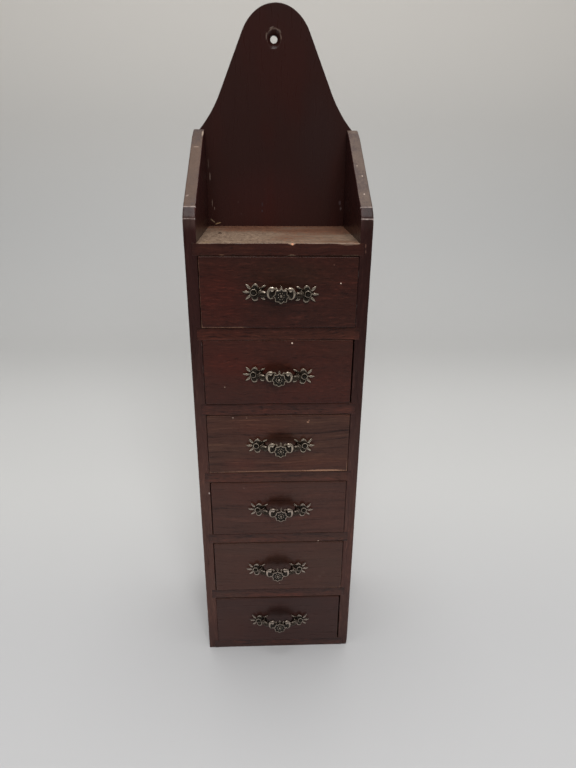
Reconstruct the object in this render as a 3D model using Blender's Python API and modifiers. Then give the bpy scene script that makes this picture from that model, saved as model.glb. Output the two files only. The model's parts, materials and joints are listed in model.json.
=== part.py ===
"""Narrow wall chest with six small drawers under an open shelf.

Metres, +Z up, front towards -Y.  The origin is the middle of the base, on the floor.
"""

import math
from collections import namedtuple

import bmesh
import bpy
from mathutils import Matrix, Vector

MM = 0.001
CHEST_NAME = "miniature_chest_of_drawers"

# Carcass boards
CARCASS_WIDTH = 96.0 * MM
SIDE_THICKNESS = 6.4 * MM
SIDE_DEPTH = 69.0 * MM
BACK_THICKNESS = 5.0 * MM
SHELF_THICKNESS = 6.4 * MM
DIVIDER_THICKNESS = 6.8 * MM
BOTTOM_THICKNESS = 6.2 * MM
HOUSING_DEPTH = 2.8 * MM
FIT_GAP = 0.3 * MM

# Cheeks: the tops of the side boards, sloping up to the back board
CHEEK_FRONT_RISE = 12.0 * MM
CHEEK_FACET = Vector((5.3, 5.1)) * MM
CHEEK_SLOPE = math.radians(31.6)
CHEEK_SLOPE_END = 57.0 * MM
CHEEK_CROWN_RADIUS = 60.0 * MM

# Back board: oval head, straight flanks, then a flare out to the full width
HEAD_TOP = 394.4 * MM
HEAD_HALF_WIDTH = 21.2 * MM
HEAD_RISE = 25.0 * MM
FLANK_LEAN = math.radians(23.75)
FLARE_START_HALF_WIDTH = 32.0 * MM
FLARE_RADIUS = 72.0 * MM
HANG_HOLE_SHIFT = -1.1 * MM
HANG_HOLE_DROP = 17.0 * MM
HANG_HOLE_RADIUS = 2.15 * MM
COUNTERSINK_RADIUS = 4.6 * MM
COUNTERSINK_DEPTH = 2.4 * MM

# Drawers
OPENING_HEIGHT = 38.4 * MM
DRAWER_WIDTH = 82.2 * MM
DRAWER_HEIGHT = 37.6 * MM
DRAWER_LENGTH = 67.0 * MM
FRONT_THICKNESS = 6.0 * MM
FRONT_ARRIS = 0.4 * MM
BOX_SIDE_THICKNESS = 3.6 * MM
BOX_BOTTOM_THICKNESS = 2.6 * MM
BOX_SIDE_DROP = 2.0 * MM

# How each drawer sits, from the top one down: its sideways shift, how far it stands out of
# the carcass, and where its pull is nailed (from the middle of the front, degrees clockwise)
Drawer = namedtuple("Drawer", "shift proud pull_x pull_z pull_tilt")
DRAWERS = (
    Drawer(0.00 * MM, 0.9 * MM, 1.10 * MM, 0.50 * MM, 2.0),
    Drawer(-0.15 * MM, 0.2 * MM, 0.25 * MM, -0.80 * MM, 2.5),
    Drawer(0.00 * MM, 0.6 * MM, 1.05 * MM, 0.25 * MM, 0.6),
    Drawer(0.15 * MM, 0.4 * MM, 1.15 * MM, 0.30 * MM, 1.7),
    Drawer(0.10 * MM, 0.5 * MM, -0.85 * MM, -0.55 * MM, 0.0),
    Drawer(-0.15 * MM, 0.5 * MM, 0.75 * MM, 0.65 * MM, 0.8),
)

# Cast pull, in its own frame: X along it, Y up, Z out of the drawer front
NAIL_PITCH = 28.5 * MM
PLATE_THICKNESS = 1.5 * MM
PLATE_CORE_RADIUS = 2.5 * MM
BOW_REACH = 7.0 * MM
BOW_HALF_SPAN = 10.3 * MM
BOW_RADIUS = 1.15 * MM
BOW_ROOT_SWELL = 0.45
BOW_ROOT_FADE = 3
BOW_POINTS = 13
BOW_FULLNESS = 0.62
FLOWER_TIP_RADIUS = 4.1 * MM
FLOWER_VALLEY_RADIUS = 3.1 * MM
FLOWER_POINTS = 8
FLOWER_THICKNESS = 1.5 * MM
FLOWER_FACE = 8.9 * MM
FLOWER_BOSS_RADIUS = 0.8 * MM
FLOWER_BOSS_HEIGHT = 0.4 * MM
COLLAR_OFFSET = 5.3 * MM
COLLAR_HALF_SIZE = Vector((1.6, 3.1, 1.5)) * MM
NAIL_RING_RADIUS = 1.9 * MM
NAIL_RING_BORE = 1.4 * MM
NAIL_RING_HEIGHT = 0.8 * MM
NAIL_SEAT_DEPTH = 0.2 * MM

# Leaves round each nail, from the outward one to the inward root: angle from outward in
# degrees, tip radius, half width, and whether the end is blunt
Leaf = namedtuple("Leaf", "angle reach half_width blunt")
LEAVES = (
    Leaf(0.0, 6.0 * MM, 0.8 * MM, False),
    Leaf(46.0, 5.9 * MM, 0.8 * MM, False),
    Leaf(106.0, 4.7 * MM, 1.5 * MM, True),
    Leaf(149.0, 7.5 * MM, 0.9 * MM, False),
    Leaf(180.0, 6.2 * MM, 1.0 * MM, True),
)
LEAF_WIDEST = 0.68
LEAF_BLUNT_END = 0.55

# Nails that hold the pulls
NAIL_HEAD_RADIUS = 1.05 * MM
NAIL_HEAD_HEIGHT = 0.55 * MM
NAIL_SHANK_RADIUS = 0.55 * MM
NAIL_LENGTH = 6.6 * MM
NAIL_HOLE_RADIUS = NAIL_SHANK_RADIUS + FIT_GAP

# Facets of round stretches, and the fineness of welds and smooth shading
CROWN_STEPS = 5
HEAD_STEPS = 12
FLARE_STEPS = 8
ROUND_STEPS = 14
FLOWER_STEPS_PER_POINT = 4
COLLAR_SEGMENTS = 10
COLLAR_RINGS = 6
NAIL_STEPS = 12
NAIL_DOME_STEPS = 4
CUTTER_MARGIN = 2.0 * MM
WELD_DISTANCE = 0.001 * MM
SHARP_ANGLE = math.radians(35)

# Derived places
CARCASS_DEPTH = SIDE_DEPTH + FIT_GAP + BACK_THICKNESS
FRONT_Y = -CARCASS_DEPTH / 2
SIDE_REAR_Y = FRONT_Y + SIDE_DEPTH
OPENING_WIDTH = CARCASS_WIDTH - 2 * SIDE_THICKNESS
PITCH = OPENING_HEIGHT + DIVIDER_THICKNESS
SHELF_BASE = BOTTOM_THICKNESS + len(DRAWERS) * PITCH - DIVIDER_THICKNESS
SHELF_TOP = SHELF_BASE + SHELF_THICKNESS
HOUSED_LENGTH = OPENING_WIDTH + 2 * (HOUSING_DEPTH - FIT_GAP)


def clear_scene():
    for obj in list(bpy.data.objects):
        bpy.data.objects.remove(obj, do_unlink=True)


def new_collection(name):
    collection = bpy.data.collections.new(name)
    bpy.context.scene.collection.children.link(collection)
    return collection


def new_material(name, colour, roughness, metallic=0.0):
    material = bpy.data.materials.new(name)
    material.use_nodes = True
    shader = material.node_tree.nodes["Principled BSDF"]
    shader.inputs["Base Color"].default_value = (*colour, 1.0)
    shader.inputs["Roughness"].default_value = roughness
    shader.inputs["Metallic"].default_value = metallic
    return material


clear_scene()
PARTS = new_collection(CHEST_NAME)
CUTTERS = new_collection("cutters")
STAINED_WOOD = new_material("stained_wood", (0.075, 0.028, 0.022), 0.5)
FRONT_WOOD = new_material("drawer_front_wood", (0.095, 0.033, 0.025), 0.45)
BOX_WOOD = new_material("drawer_box_wood", (0.36, 0.24, 0.14), 0.7)
AGED_BRASS = new_material("aged_brass", (0.30, 0.25, 0.16), 0.42, 1.0)
NAIL_BRASS = new_material("nail_brass", (0.16, 0.12, 0.08), 0.5, 1.0)


def add_object(name, data, collection=PARTS, parent=None, location=(0, 0, 0), rotation=(0, 0, 0)):
    obj = bpy.data.objects.new(name, data)
    collection.objects.link(obj)
    obj.parent = parent
    obj.location = location
    obj.rotation_euler = rotation
    return obj


def add_part(name, mesh, material, parent, location=(0, 0, 0), rotation=(0, 0, 0)):
    if not mesh.materials:
        mesh.materials.append(material)
    return add_object(name, mesh, PARTS, parent, location, rotation)


def add_cutter(name, mesh, parent, location=(0, 0, 0), rotation=(0, 0, 0)):
    cutter = add_object(name, mesh, CUTTERS, parent, location, rotation)
    cutter.hide_render = True
    cutter.display_type = "WIRE"
    return cutter


def boolean(obj, tool, operation):
    modifier = obj.modifiers.new(operation.lower(), "BOOLEAN")
    modifier.operation = operation
    modifier.object = tool


def mesh_of_boxes(name, boxes):
    """One mesh of separate boxes, each given by its middle and its size."""
    mesh = bpy.data.meshes.new(name)
    shape = bmesh.new()
    for middle, size in boxes:
        place = Matrix.Translation(middle) @ Matrix.Diagonal((*size, 1.0))
        bmesh.ops.create_cube(shape, size=1.0, matrix=place)
    shape.to_mesh(mesh)
    shape.free()
    return mesh


def board_mesh(name, size):
    """A plain board about its own middle."""
    return mesh_of_boxes(name, [(Vector((0, 0, 0)), Vector(size))])


def mesh_of_rounds(name, rounds):
    """One mesh of separate cylinders or cones along Z: middle, lower radius, upper radius, height."""
    mesh = bpy.data.meshes.new(name)
    shape = bmesh.new()
    for middle, lower_radius, upper_radius, height in rounds:
        bmesh.ops.create_cone(
            shape, cap_ends=True, segments=ROUND_STEPS, radius1=lower_radius,
            radius2=upper_radius, depth=height, matrix=Matrix.Translation(middle))
    shape.to_mesh(mesh)
    shape.free()
    return mesh


def round_mesh(name, radius, low, high, top_radius=None):
    """A cylinder, or a cone where a top radius is given, between two heights."""
    middle = Vector((0.0, 0.0, (low + high) / 2))
    return mesh_of_rounds(name, [(middle, radius, top_radius or radius, high - low)])


def taken_mesh(obj, name):
    """The finished shape of an object as a welded mesh of its own; the object goes."""
    bpy.context.view_layer.update()
    finished = obj.evaluated_get(bpy.context.evaluated_depsgraph_get())
    mesh = bpy.data.meshes.new_from_object(finished)
    mesh.name = name
    shape = bmesh.new()
    shape.from_mesh(mesh)
    bmesh.ops.remove_doubles(shape, verts=shape.verts, dist=WELD_DISTANCE)
    shape.to_mesh(mesh)
    shape.free()
    bpy.data.objects.remove(obj, do_unlink=True)
    return mesh


def curve_mesh(name, points, cyclic, dimensions, radii=None, **settings):
    """The solid of a curve through points: a filled outline or a bevelled bar."""
    curve = bpy.data.curves.new(name, "CURVE")
    curve.dimensions = dimensions
    for setting, value in settings.items():
        setattr(curve, setting, value)
    spline = curve.splines.new("POLY")
    spline.points.add(len(points) - 1)
    for index, point in enumerate(points):
        spline.points[index].co = (*point, 1.0)
        spline.points[index].radius = radii[index] if radii else 1.0
    spline.use_cyclic_u = cyclic
    return taken_mesh(add_object(name, curve, CUTTERS), name)


def outline_mesh(name, outline, thickness):
    """A flat plate cut to an outline, about the middle of its thickness."""
    points = [(u, v, 0.0) for u, v in outline]
    return curve_mesh(name, points, True, "2D", fill_mode="BOTH", extrude=thickness / 2)


def arc(centre, radius, start, end, steps):
    """Points along an arc, both ends included; angles in radians from +u."""
    angles = [start + (end - start) * step / steps for step in range(steps + 1)]
    return [(centre[0] + radius * math.cos(a), centre[1] + radius * math.sin(a)) for a in angles]


def shade_round(mesh):
    mesh.shade_smooth()
    mesh.set_sharp_from_angle(angle=SHARP_ANGLE)


def side_outline():
    """A side board seen from +X: u runs back from the front edge, v up."""
    front_top = SHELF_TOP + CHEEK_FRONT_RISE
    slope_start = Vector((0.0, front_top)) + CHEEK_FACET
    run = CHEEK_SLOPE_END - slope_start.x
    slope_end = Vector((CHEEK_SLOPE_END, slope_start.y + run * math.tan(CHEEK_SLOPE)))
    inward = Vector((math.sin(CHEEK_SLOPE), -math.cos(CHEEK_SLOPE)))
    crown_centre = slope_end + CHEEK_CROWN_RADIUS * inward
    crown_start = math.pi / 2 + CHEEK_SLOPE
    crown_end = math.acos((SIDE_DEPTH - crown_centre.x) / CHEEK_CROWN_RADIUS)
    crown = arc(crown_centre, CHEEK_CROWN_RADIUS, crown_end, crown_start, CROWN_STEPS)
    return [(0.0, 0.0), (SIDE_DEPTH, 0.0), *crown, tuple(slope_start), (0.0, front_top)]


def back_outline():
    """The back board seen from the front: u to the right, v up."""
    head_start = math.atan(math.tan(FLANK_LEAN) * HEAD_RISE / HEAD_HALF_WIDTH)
    head = [(u * HEAD_HALF_WIDTH, HEAD_TOP + (v - 1.0) * HEAD_RISE)
            for u, v in arc((0.0, 0.0), 1.0, head_start, math.pi / 2, HEAD_STEPS)]
    flank_top = Vector(head[0])
    flank_drop = (FLARE_START_HALF_WIDTH - flank_top.x) / math.tan(FLANK_LEAN)
    flare_top = Vector((FLARE_START_HALF_WIDTH, flank_top.y - flank_drop))
    flare_centre = flare_top + FLARE_RADIUS * Vector((math.cos(FLANK_LEAN), math.sin(FLANK_LEAN)))
    flare_end = math.acos((CARCASS_WIDTH / 2 - flare_centre.x) / FLARE_RADIUS)
    flare = arc(flare_centre, FLARE_RADIUS, 2 * math.pi - flare_end, math.pi + FLANK_LEAN, FLARE_STEPS)
    right = [(CARCASS_WIDTH / 2, 0.0), *flare, *head]
    left = [(-u, v) for u, v in reversed(right[:-1])]
    return right + left


def housed_levels():
    """Middle height and thickness of every board housed in the sides, from the top down."""
    levels = [("top_shelf", SHELF_BASE + SHELF_THICKNESS / 2, SHELF_THICKNESS)]
    for number in range(1, len(DRAWERS)):
        top = SHELF_BASE - number * PITCH + DIVIDER_THICKNESS
        levels.append((f"divider_{number}", top - DIVIDER_THICKNESS / 2, DIVIDER_THICKNESS))
    levels.append(("bottom_board", BOTTOM_THICKNESS / 2, BOTTOM_THICKNESS))
    return levels


def make_sides(carcass):
    """Two sloped side boards with a through housing for each cross board."""
    mesh = outline_mesh("side_board", side_outline(), SIDE_THICKNESS)
    for hand, name in ((-1, "left_side"), (1, "right_side")):
        middle_x = hand * (CARCASS_WIDTH - SIDE_THICKNESS) / 2
        side = add_part(name, mesh, STAINED_WOOD, carcass, (middle_x, FRONT_Y, 0.0),
                        (math.pi / 2, 0.0, math.pi / 2))
        housings = []
        inner_x = hand * OPENING_WIDTH / 2
        for _, height, thickness in housed_levels():
            low = height - thickness / 2 - FIT_GAP
            high = height + thickness / 2 + FIT_GAP
            middle = Vector((inner_x, (FRONT_Y + SIDE_REAR_Y) / 2, (low + high) / 2))
            size = Vector((2 * HOUSING_DEPTH, SIDE_DEPTH + 2 * CUTTER_MARGIN, high - low))
            housings.append((middle, size))
        cutter = add_cutter(f"{name}_housings", mesh_of_boxes(f"{name}_housings", housings), carcass)
        boolean(side, cutter, "DIFFERENCE")


def make_cross_boards(carcass):
    """Shelf, dividers and bottom board, held in the housings of both sides."""
    for name, height, thickness in housed_levels():
        mesh = board_mesh(name, (HOUSED_LENGTH, SIDE_DEPTH, thickness))
        add_part(name, mesh, STAINED_WOOD, carcass, (0.0, (FRONT_Y + SIDE_REAR_Y) / 2, height))


def make_back(carcass):
    """Back board fixed behind the sides, with a countersunk hole to hang the chest by."""
    middle_y = SIDE_REAR_Y + FIT_GAP + BACK_THICKNESS / 2
    mesh = outline_mesh("back_board", back_outline(), BACK_THICKNESS)
    upright = (math.pi / 2, 0.0, 0.0)
    back = add_part("back_board", mesh, STAINED_WOOD, carcass, (0.0, middle_y, 0.0), upright)
    hole_place = (HANG_HOLE_SHIFT, middle_y, HEAD_TOP - HANG_HOLE_DROP)
    face = BACK_THICKNESS / 2
    sink_slope = (COUNTERSINK_RADIUS - HANG_HOLE_RADIUS) / COUNTERSINK_DEPTH
    sink_mouth = COUNTERSINK_RADIUS + CUTTER_MARGIN * sink_slope
    bore = round_mesh("hanging_hole", HANG_HOLE_RADIUS, -face - CUTTER_MARGIN, face + CUTTER_MARGIN)
    sink = round_mesh("hanging_countersink", HANG_HOLE_RADIUS, face - COUNTERSINK_DEPTH,
                      face + CUTTER_MARGIN, sink_mouth)
    for mesh in (bore, sink):
        cutter = add_cutter(mesh.name, mesh, carcass, hole_place, upright)
        boolean(back, cutter, "DIFFERENCE")


def leaf_points(leaf):
    """One leaf of a rosette, in order of rising angle."""
    along = Vector((math.cos(math.radians(leaf.angle)), math.sin(math.radians(leaf.angle))))
    across = Vector((-along.y, along.x))
    shoulder = leaf.reach * LEAF_WIDEST
    ends = (-LEAF_BLUNT_END, LEAF_BLUNT_END) if leaf.blunt else (0.0,)
    steps = [(shoulder, -1.0), *((leaf.reach, end) for end in ends), (shoulder, 1.0)]
    return [along * reach + across * side * leaf.half_width for reach, side in steps]


def rosette_outline(outward):
    """Leafy plate round a nail, with its middle leaf pointing outward (-1 left, 1 right)."""
    lower_half = [leaf._replace(angle=-leaf.angle) for leaf in reversed(LEAVES[1:-1])]
    ring = lower_half + list(LEAVES)
    points = []
    for index, leaf in enumerate(ring):
        following = ring[(index + 1) % len(ring)]
        gap = (following.angle - leaf.angle) % 360
        valley = math.radians(leaf.angle + gap / 2)
        points += leaf_points(leaf)
        points.append(Vector((math.cos(valley), math.sin(valley))) * PLATE_CORE_RADIUS)
    placed = [(outward * (point.x + NAIL_PITCH / 2), point.y) for point in points]
    return placed if outward > 0 else placed[::-1]


def flower_outline():
    """Eight-pointed rim, hollow between the points."""
    steps = FLOWER_STEPS_PER_POINT * FLOWER_POINTS
    outline = []
    for step in range(steps):
        angle = math.pi / 2 + 2 * math.pi * step / steps
        cusp = 1 - abs(math.sin((angle - math.pi / 2) * FLOWER_POINTS / 2))
        radius = FLOWER_VALLEY_RADIUS + (FLOWER_TIP_RADIUS - FLOWER_VALLEY_RADIUS) * cusp
        outline.append((radius * math.cos(angle), radius * math.sin(angle)))
    return outline


def bow_mesh():
    """Arched bar from one rosette to the other, thicker at its roots."""
    root = FIT_GAP + PLATE_THICKNESS / 2
    points = []
    radii = []
    for index in range(BOW_POINTS):
        turn = math.pi * index / (BOW_POINTS - 1)
        rise = max(math.sin(turn), 0.0) ** BOW_FULLNESS
        points.append((-BOW_HALF_SPAN * math.cos(turn), 0.0, root + (BOW_REACH - root) * rise))
        radii.append(1.0 + BOW_ROOT_SWELL * abs(math.cos(turn)) ** BOW_ROOT_FADE)
    return curve_mesh("bow", points, False, "3D", radii, bevel_depth=BOW_RADIUS, bevel_resolution=1,
                      use_fill_caps=True)


def collar_mesh():
    """Swelling on the bow beside the flower."""
    mesh = bpy.data.meshes.new("collar")
    shape = bmesh.new()
    bmesh.ops.create_uvsphere(shape, u_segments=COLLAR_SEGMENTS, v_segments=COLLAR_RINGS, radius=1.0,
                              matrix=Matrix.Diagonal((*COLLAR_HALF_SIZE, 1.0)))
    shape.to_mesh(mesh)
    shape.free()
    return mesh


def pull_pieces():
    """What the cast pull is joined from, each with its place along the pull."""
    plate_face = FIT_GAP + PLATE_THICKNESS
    plate_middle = FIT_GAP + PLATE_THICKNESS / 2
    for hand in (-1, 1):
        nail = (hand * NAIL_PITCH / 2, 0.0, 0.0)
        yield outline_mesh("rosette", rosette_outline(hand), PLATE_THICKNESS), (0.0, 0.0, plate_middle)
        yield round_mesh("nail_ring", NAIL_RING_RADIUS, plate_middle, plate_face + NAIL_RING_HEIGHT), nail
        yield collar_mesh(), (hand * COLLAR_OFFSET, 0.0, BOW_REACH)
    flower = outline_mesh("flower", flower_outline(), FLOWER_THICKNESS)
    yield flower, (0.0, 0.0, FLOWER_FACE - FLOWER_THICKNESS / 2)
    boss = round_mesh("boss", FLOWER_BOSS_RADIUS, FLOWER_FACE - FLOWER_BOSS_HEIGHT,
                      FLOWER_FACE + FLOWER_BOSS_HEIGHT, FLOWER_BOSS_RADIUS / 2)
    yield boss, (0.0, 0.0, 0.0)


def pull_bores():
    """What is cut from the pull: a seat and a hole for each nail."""
    seat = FIT_GAP + PLATE_THICKNESS - NAIL_SEAT_DEPTH
    seat_top = FIT_GAP + PLATE_THICKNESS + NAIL_RING_HEIGHT + CUTTER_MARGIN
    for hand in (-1, 1):
        nail = (hand * NAIL_PITCH / 2, 0.0, 0.0)
        yield round_mesh("nail_seat", NAIL_RING_BORE, seat, seat_top), nail
        yield round_mesh("nail_bore", NAIL_HOLE_RADIUS, -CUTTER_MARGIN, seat_top), nail


def pull_mesh():
    """The whole cast pull as one solid: rosettes, bow, collars and middle flower."""
    pull = add_object("pull", bow_mesh(), CUTTERS)
    tools = []
    for operation, shapes in (("UNION", pull_pieces()), ("DIFFERENCE", pull_bores())):
        for mesh, place in shapes:
            tools.append(add_object(mesh.name, mesh, CUTTERS, location=place))
            boolean(pull, tools[-1], operation)
    mesh = taken_mesh(pull, "pull")
    for tool in tools:
        bpy.data.objects.remove(tool, do_unlink=True)
    shade_round(mesh)
    return mesh


def nail_mesh():
    """Round-headed nail, turned about Z, with its head's underside at the origin."""
    dome = arc((0.0, 0.0), 1.0, math.pi / 2, 0.0, NAIL_DOME_STEPS)
    profile = [(0.0, NAIL_HEAD_HEIGHT)]
    profile += [(u * NAIL_HEAD_RADIUS, v * NAIL_HEAD_HEIGHT) for u, v in dome[1:]]
    profile += [(NAIL_SHANK_RADIUS, 0.0), (NAIL_SHANK_RADIUS, NAIL_SHANK_RADIUS - NAIL_LENGTH)]
    profile.append((0.0, -NAIL_LENGTH))
    mesh = bpy.data.meshes.new("nail_profile")
    shape = bmesh.new()
    verts = [shape.verts.new((u, 0.0, v)) for u, v in profile]
    for upper, lower in zip(verts, verts[1:]):
        shape.edges.new((upper, lower))
    shape.to_mesh(mesh)
    shape.free()
    turned = add_object("nail", mesh, CUTTERS)
    screw = turned.modifiers.new("turned", "SCREW")
    screw.steps = NAIL_STEPS
    screw.render_steps = NAIL_STEPS
    screw.use_merge_vertices = True
    screw.merge_threshold = WELD_DISTANCE
    nail = taken_mesh(turned, "nail")
    shade_round(nail)
    return nail


def nail_places(drawer):
    """Where the two nails stand on a drawer front, from its middle: x and z."""
    tilt = math.radians(drawer.pull_tilt)
    reach = NAIL_PITCH / 2
    for hand in (-1, 1):
        yield drawer.pull_x + hand * reach * math.cos(tilt), drawer.pull_z - hand * reach * math.sin(tilt)


def make_front(name, drawer, slide):
    """Drawer front with eased edges and a blind hole for each nail."""
    mesh = board_mesh(f"{name}_front", (DRAWER_WIDTH, FRONT_THICKNESS, DRAWER_HEIGHT))
    front = add_part(f"{name}_front", mesh, FRONT_WOOD, slide, (0.0, FRONT_THICKNESS / 2, 0.0))
    arris = front.modifiers.new("eased_edges", "BEVEL")
    arris.width = FRONT_ARRIS
    arris.segments = 1
    hole_depth = NAIL_LENGTH - PLATE_THICKNESS
    hole_height = hole_depth + CUTTER_MARGIN
    middle = (hole_depth - CUTTER_MARGIN) / 2
    holes = [(Vector((x, z, -middle)), NAIL_HOLE_RADIUS, NAIL_HOLE_RADIUS, hole_height)
             for x, z in nail_places(drawer)]
    cutter = add_cutter(f"{name}_nail_holes", mesh_of_rounds(f"{name}_nail_holes", holes), slide,
                        (0.0, 0.0, 0.0), (math.pi / 2, 0.0, 0.0))
    boolean(front, cutter, "DIFFERENCE")


def make_box(name, slide, meshes):
    """Two sides, a back and a bottom behind a drawer front."""
    box_front = FRONT_THICKNESS + FIT_GAP
    side_length = DRAWER_LENGTH - box_front
    low = -DRAWER_HEIGHT / 2
    side_middle_z = low + (DRAWER_HEIGHT - BOX_SIDE_DROP) / 2
    side_x = (DRAWER_WIDTH - BOX_SIDE_THICKNESS) / 2
    side_y = box_front + side_length / 2
    back_y = DRAWER_LENGTH - BOX_SIDE_THICKNESS / 2
    bottom_y = box_front + (side_length - BOX_SIDE_THICKNESS - FIT_GAP) / 2
    places = {
        "left_side": (meshes["side"], (-side_x, side_y, side_middle_z)),
        "right_side": (meshes["side"], (side_x, side_y, side_middle_z)),
        "back": (meshes["back"], (0.0, back_y, side_middle_z)),
        "bottom": (meshes["bottom"], (0.0, bottom_y, low + BOX_BOTTOM_THICKNESS / 2)),
    }
    for piece, (mesh, place) in places.items():
        add_part(f"{name}_{piece}", mesh, BOX_WOOD, slide, place)


def box_meshes():
    """The boards that every drawer box has."""
    side_length = DRAWER_LENGTH - FRONT_THICKNESS - FIT_GAP
    side_height = DRAWER_HEIGHT - BOX_SIDE_DROP
    inner_width = DRAWER_WIDTH - 2 * (BOX_SIDE_THICKNESS + FIT_GAP)
    bottom_length = side_length - BOX_SIDE_THICKNESS - FIT_GAP
    return {
        "side": board_mesh("box_side", (BOX_SIDE_THICKNESS, side_length, side_height)),
        "back": board_mesh("box_back", (inner_width, BOX_SIDE_THICKNESS, side_height)),
        "bottom": board_mesh("box_bottom", (inner_width, bottom_length, BOX_BOTTOM_THICKNESS)),
    }


def make_drawers():
    """Six drawers, each on a guide at the middle of its front, sliding out along -Y."""
    boxes = box_meshes()
    pull = pull_mesh()
    nail = nail_mesh()
    outward = (math.pi / 2, 0.0, 0.0)
    for index, drawer in enumerate(DRAWERS):
        name = f"drawer_{index + 1}"
        opening_base = SHELF_BASE - index * PITCH - OPENING_HEIGHT
        middle_z = opening_base + FIT_GAP + DRAWER_HEIGHT / 2
        slide = add_object(f"{name}_slide", None, location=(drawer.shift, FRONT_Y - drawer.proud, middle_z))
        make_front(name, drawer, slide)
        make_box(name, slide, boxes)
        add_part(f"{name}_pull", pull, AGED_BRASS, slide, (drawer.pull_x, 0.0, drawer.pull_z),
                 (math.pi / 2, math.radians(drawer.pull_tilt), 0.0))
        head_base = -(2 * FIT_GAP + PLATE_THICKNESS)
        for hand, (x, z) in zip(("left", "right"), nail_places(drawer)):
            add_part(f"{name}_{hand}_nail", nail, NAIL_BRASS, slide, (x, head_base, z), outward)


def make_carcass():
    carcass = add_object("carcass", None)
    make_sides(carcass)
    make_cross_boards(carcass)
    make_back(carcass)


make_carcass()
make_drawers()
bpy.context.view_layer.update()
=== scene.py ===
import json
import math

import bmesh
import bpy
import numpy as np
from mathutils import Matrix, Vector, noise

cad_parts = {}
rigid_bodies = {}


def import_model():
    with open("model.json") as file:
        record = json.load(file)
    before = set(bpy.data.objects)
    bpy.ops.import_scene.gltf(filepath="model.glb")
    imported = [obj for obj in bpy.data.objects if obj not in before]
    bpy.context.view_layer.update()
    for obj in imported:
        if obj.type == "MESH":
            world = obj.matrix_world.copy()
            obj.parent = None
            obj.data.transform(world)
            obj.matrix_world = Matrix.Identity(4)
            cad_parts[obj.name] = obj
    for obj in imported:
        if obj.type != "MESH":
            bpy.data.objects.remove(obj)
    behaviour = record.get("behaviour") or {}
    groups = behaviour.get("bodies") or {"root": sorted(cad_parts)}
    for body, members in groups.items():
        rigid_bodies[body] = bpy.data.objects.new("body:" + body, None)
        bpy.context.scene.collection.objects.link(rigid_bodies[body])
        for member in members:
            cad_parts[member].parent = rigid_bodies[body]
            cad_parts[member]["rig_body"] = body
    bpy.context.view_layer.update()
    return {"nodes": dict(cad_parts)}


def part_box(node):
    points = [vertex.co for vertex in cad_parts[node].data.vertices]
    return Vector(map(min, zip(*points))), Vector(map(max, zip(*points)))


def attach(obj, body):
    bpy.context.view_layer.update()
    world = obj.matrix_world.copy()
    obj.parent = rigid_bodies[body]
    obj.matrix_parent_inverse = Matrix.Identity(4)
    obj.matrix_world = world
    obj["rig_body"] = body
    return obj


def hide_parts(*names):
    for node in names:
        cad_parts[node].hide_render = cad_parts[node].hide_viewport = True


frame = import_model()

mm = 0.001          # every size below is in millimetres
drawerNames = [f"drawer_{number}" for number in range(1, 7)]


def rgb(red, green, blue):          # a colour as a dropper reads it, turned linear
    linear = []
    for value in (red, green, blue):
        value = value / 255
        linear.append(value / 12.92 if value <= 0.04045 else ((value + 0.055) / 1.055) ** 2.4)
    return (*linear, 1.0)


def boxOf(node):                    # a node's lowest and highest corner
    low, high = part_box(node)
    return low / mm, high / mm


def wave(*place):                   # smooth wander from -1 to 1, the same every run
    return noise.noise(Vector(place))


def addPiece(name, data):           # a new object in the scene
    piece = bpy.data.objects.new(name, data)
    bpy.context.scene.collection.objects.link(piece)
    return piece


# Camera: found from the chest's straight edges in the 576 x 768 picture
cameraSet = {
    "place": (-6.47, -324.47, 320.55), "yaw": 0.0409, "pitch": 0.3989, "roll": 0.0075,
    "focal": 554.45, "pictureHeight": 768, "sensor": 36.0,
}


def makeCamera():
    yaw = cameraSet["yaw"]
    pitch = cameraSet["pitch"]
    ahead = Vector((math.sin(yaw) * math.cos(pitch), math.cos(yaw) * math.cos(pitch), -math.sin(pitch)))
    level = Vector((math.cos(yaw), -math.sin(yaw), 0.0))
    upright = level.cross(ahead)
    turn = cameraSet["roll"]
    right = level * math.cos(turn) + upright * math.sin(turn)
    up = upright * math.cos(turn) - level * math.sin(turn)
    data = bpy.data.cameras.new("pictureCamera")
    data.sensor_width = cameraSet["sensor"]
    data.lens = cameraSet["focal"] / cameraSet["pictureHeight"] * cameraSet["sensor"]
    data.clip_start = 10 * mm
    camera = addPiece("pictureCamera", data)
    axes = Matrix((right, up, -ahead)).transposed().to_4x4()
    camera.matrix_world = Matrix.Translation(Vector(cameraSet["place"]) * mm) @ axes
    bpy.context.scene.camera = camera


makeCamera()
print("camera set")


# Shader sums: a wire is a socket, and a sum on wires adds its Math node
class Wire:
    def __init__(self, finish, socket):
        self.finish = finish
        self.socket = socket

    def sum(self, operation, *terms):
        return self.finish.node("Math", {"operation": operation}, dict(enumerate(terms)))

    def __add__(self, other):
        return self.sum("ADD", self, other)

    def __sub__(self, other):
        return self.sum("SUBTRACT", self, other)

    def __rsub__(self, other):
        return self.sum("SUBTRACT", other, self)

    def __mul__(self, other):
        return self.sum("MULTIPLY", self, other)

    def __pow__(self, other):
        return self.sum("POWER", self, other)

    def __rpow__(self, other):
        return self.sum("POWER", other, self)

    def __abs__(self):
        return self.sum("ABSOLUTE", self)

    __radd__ = __add__
    __rmul__ = __mul__


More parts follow.
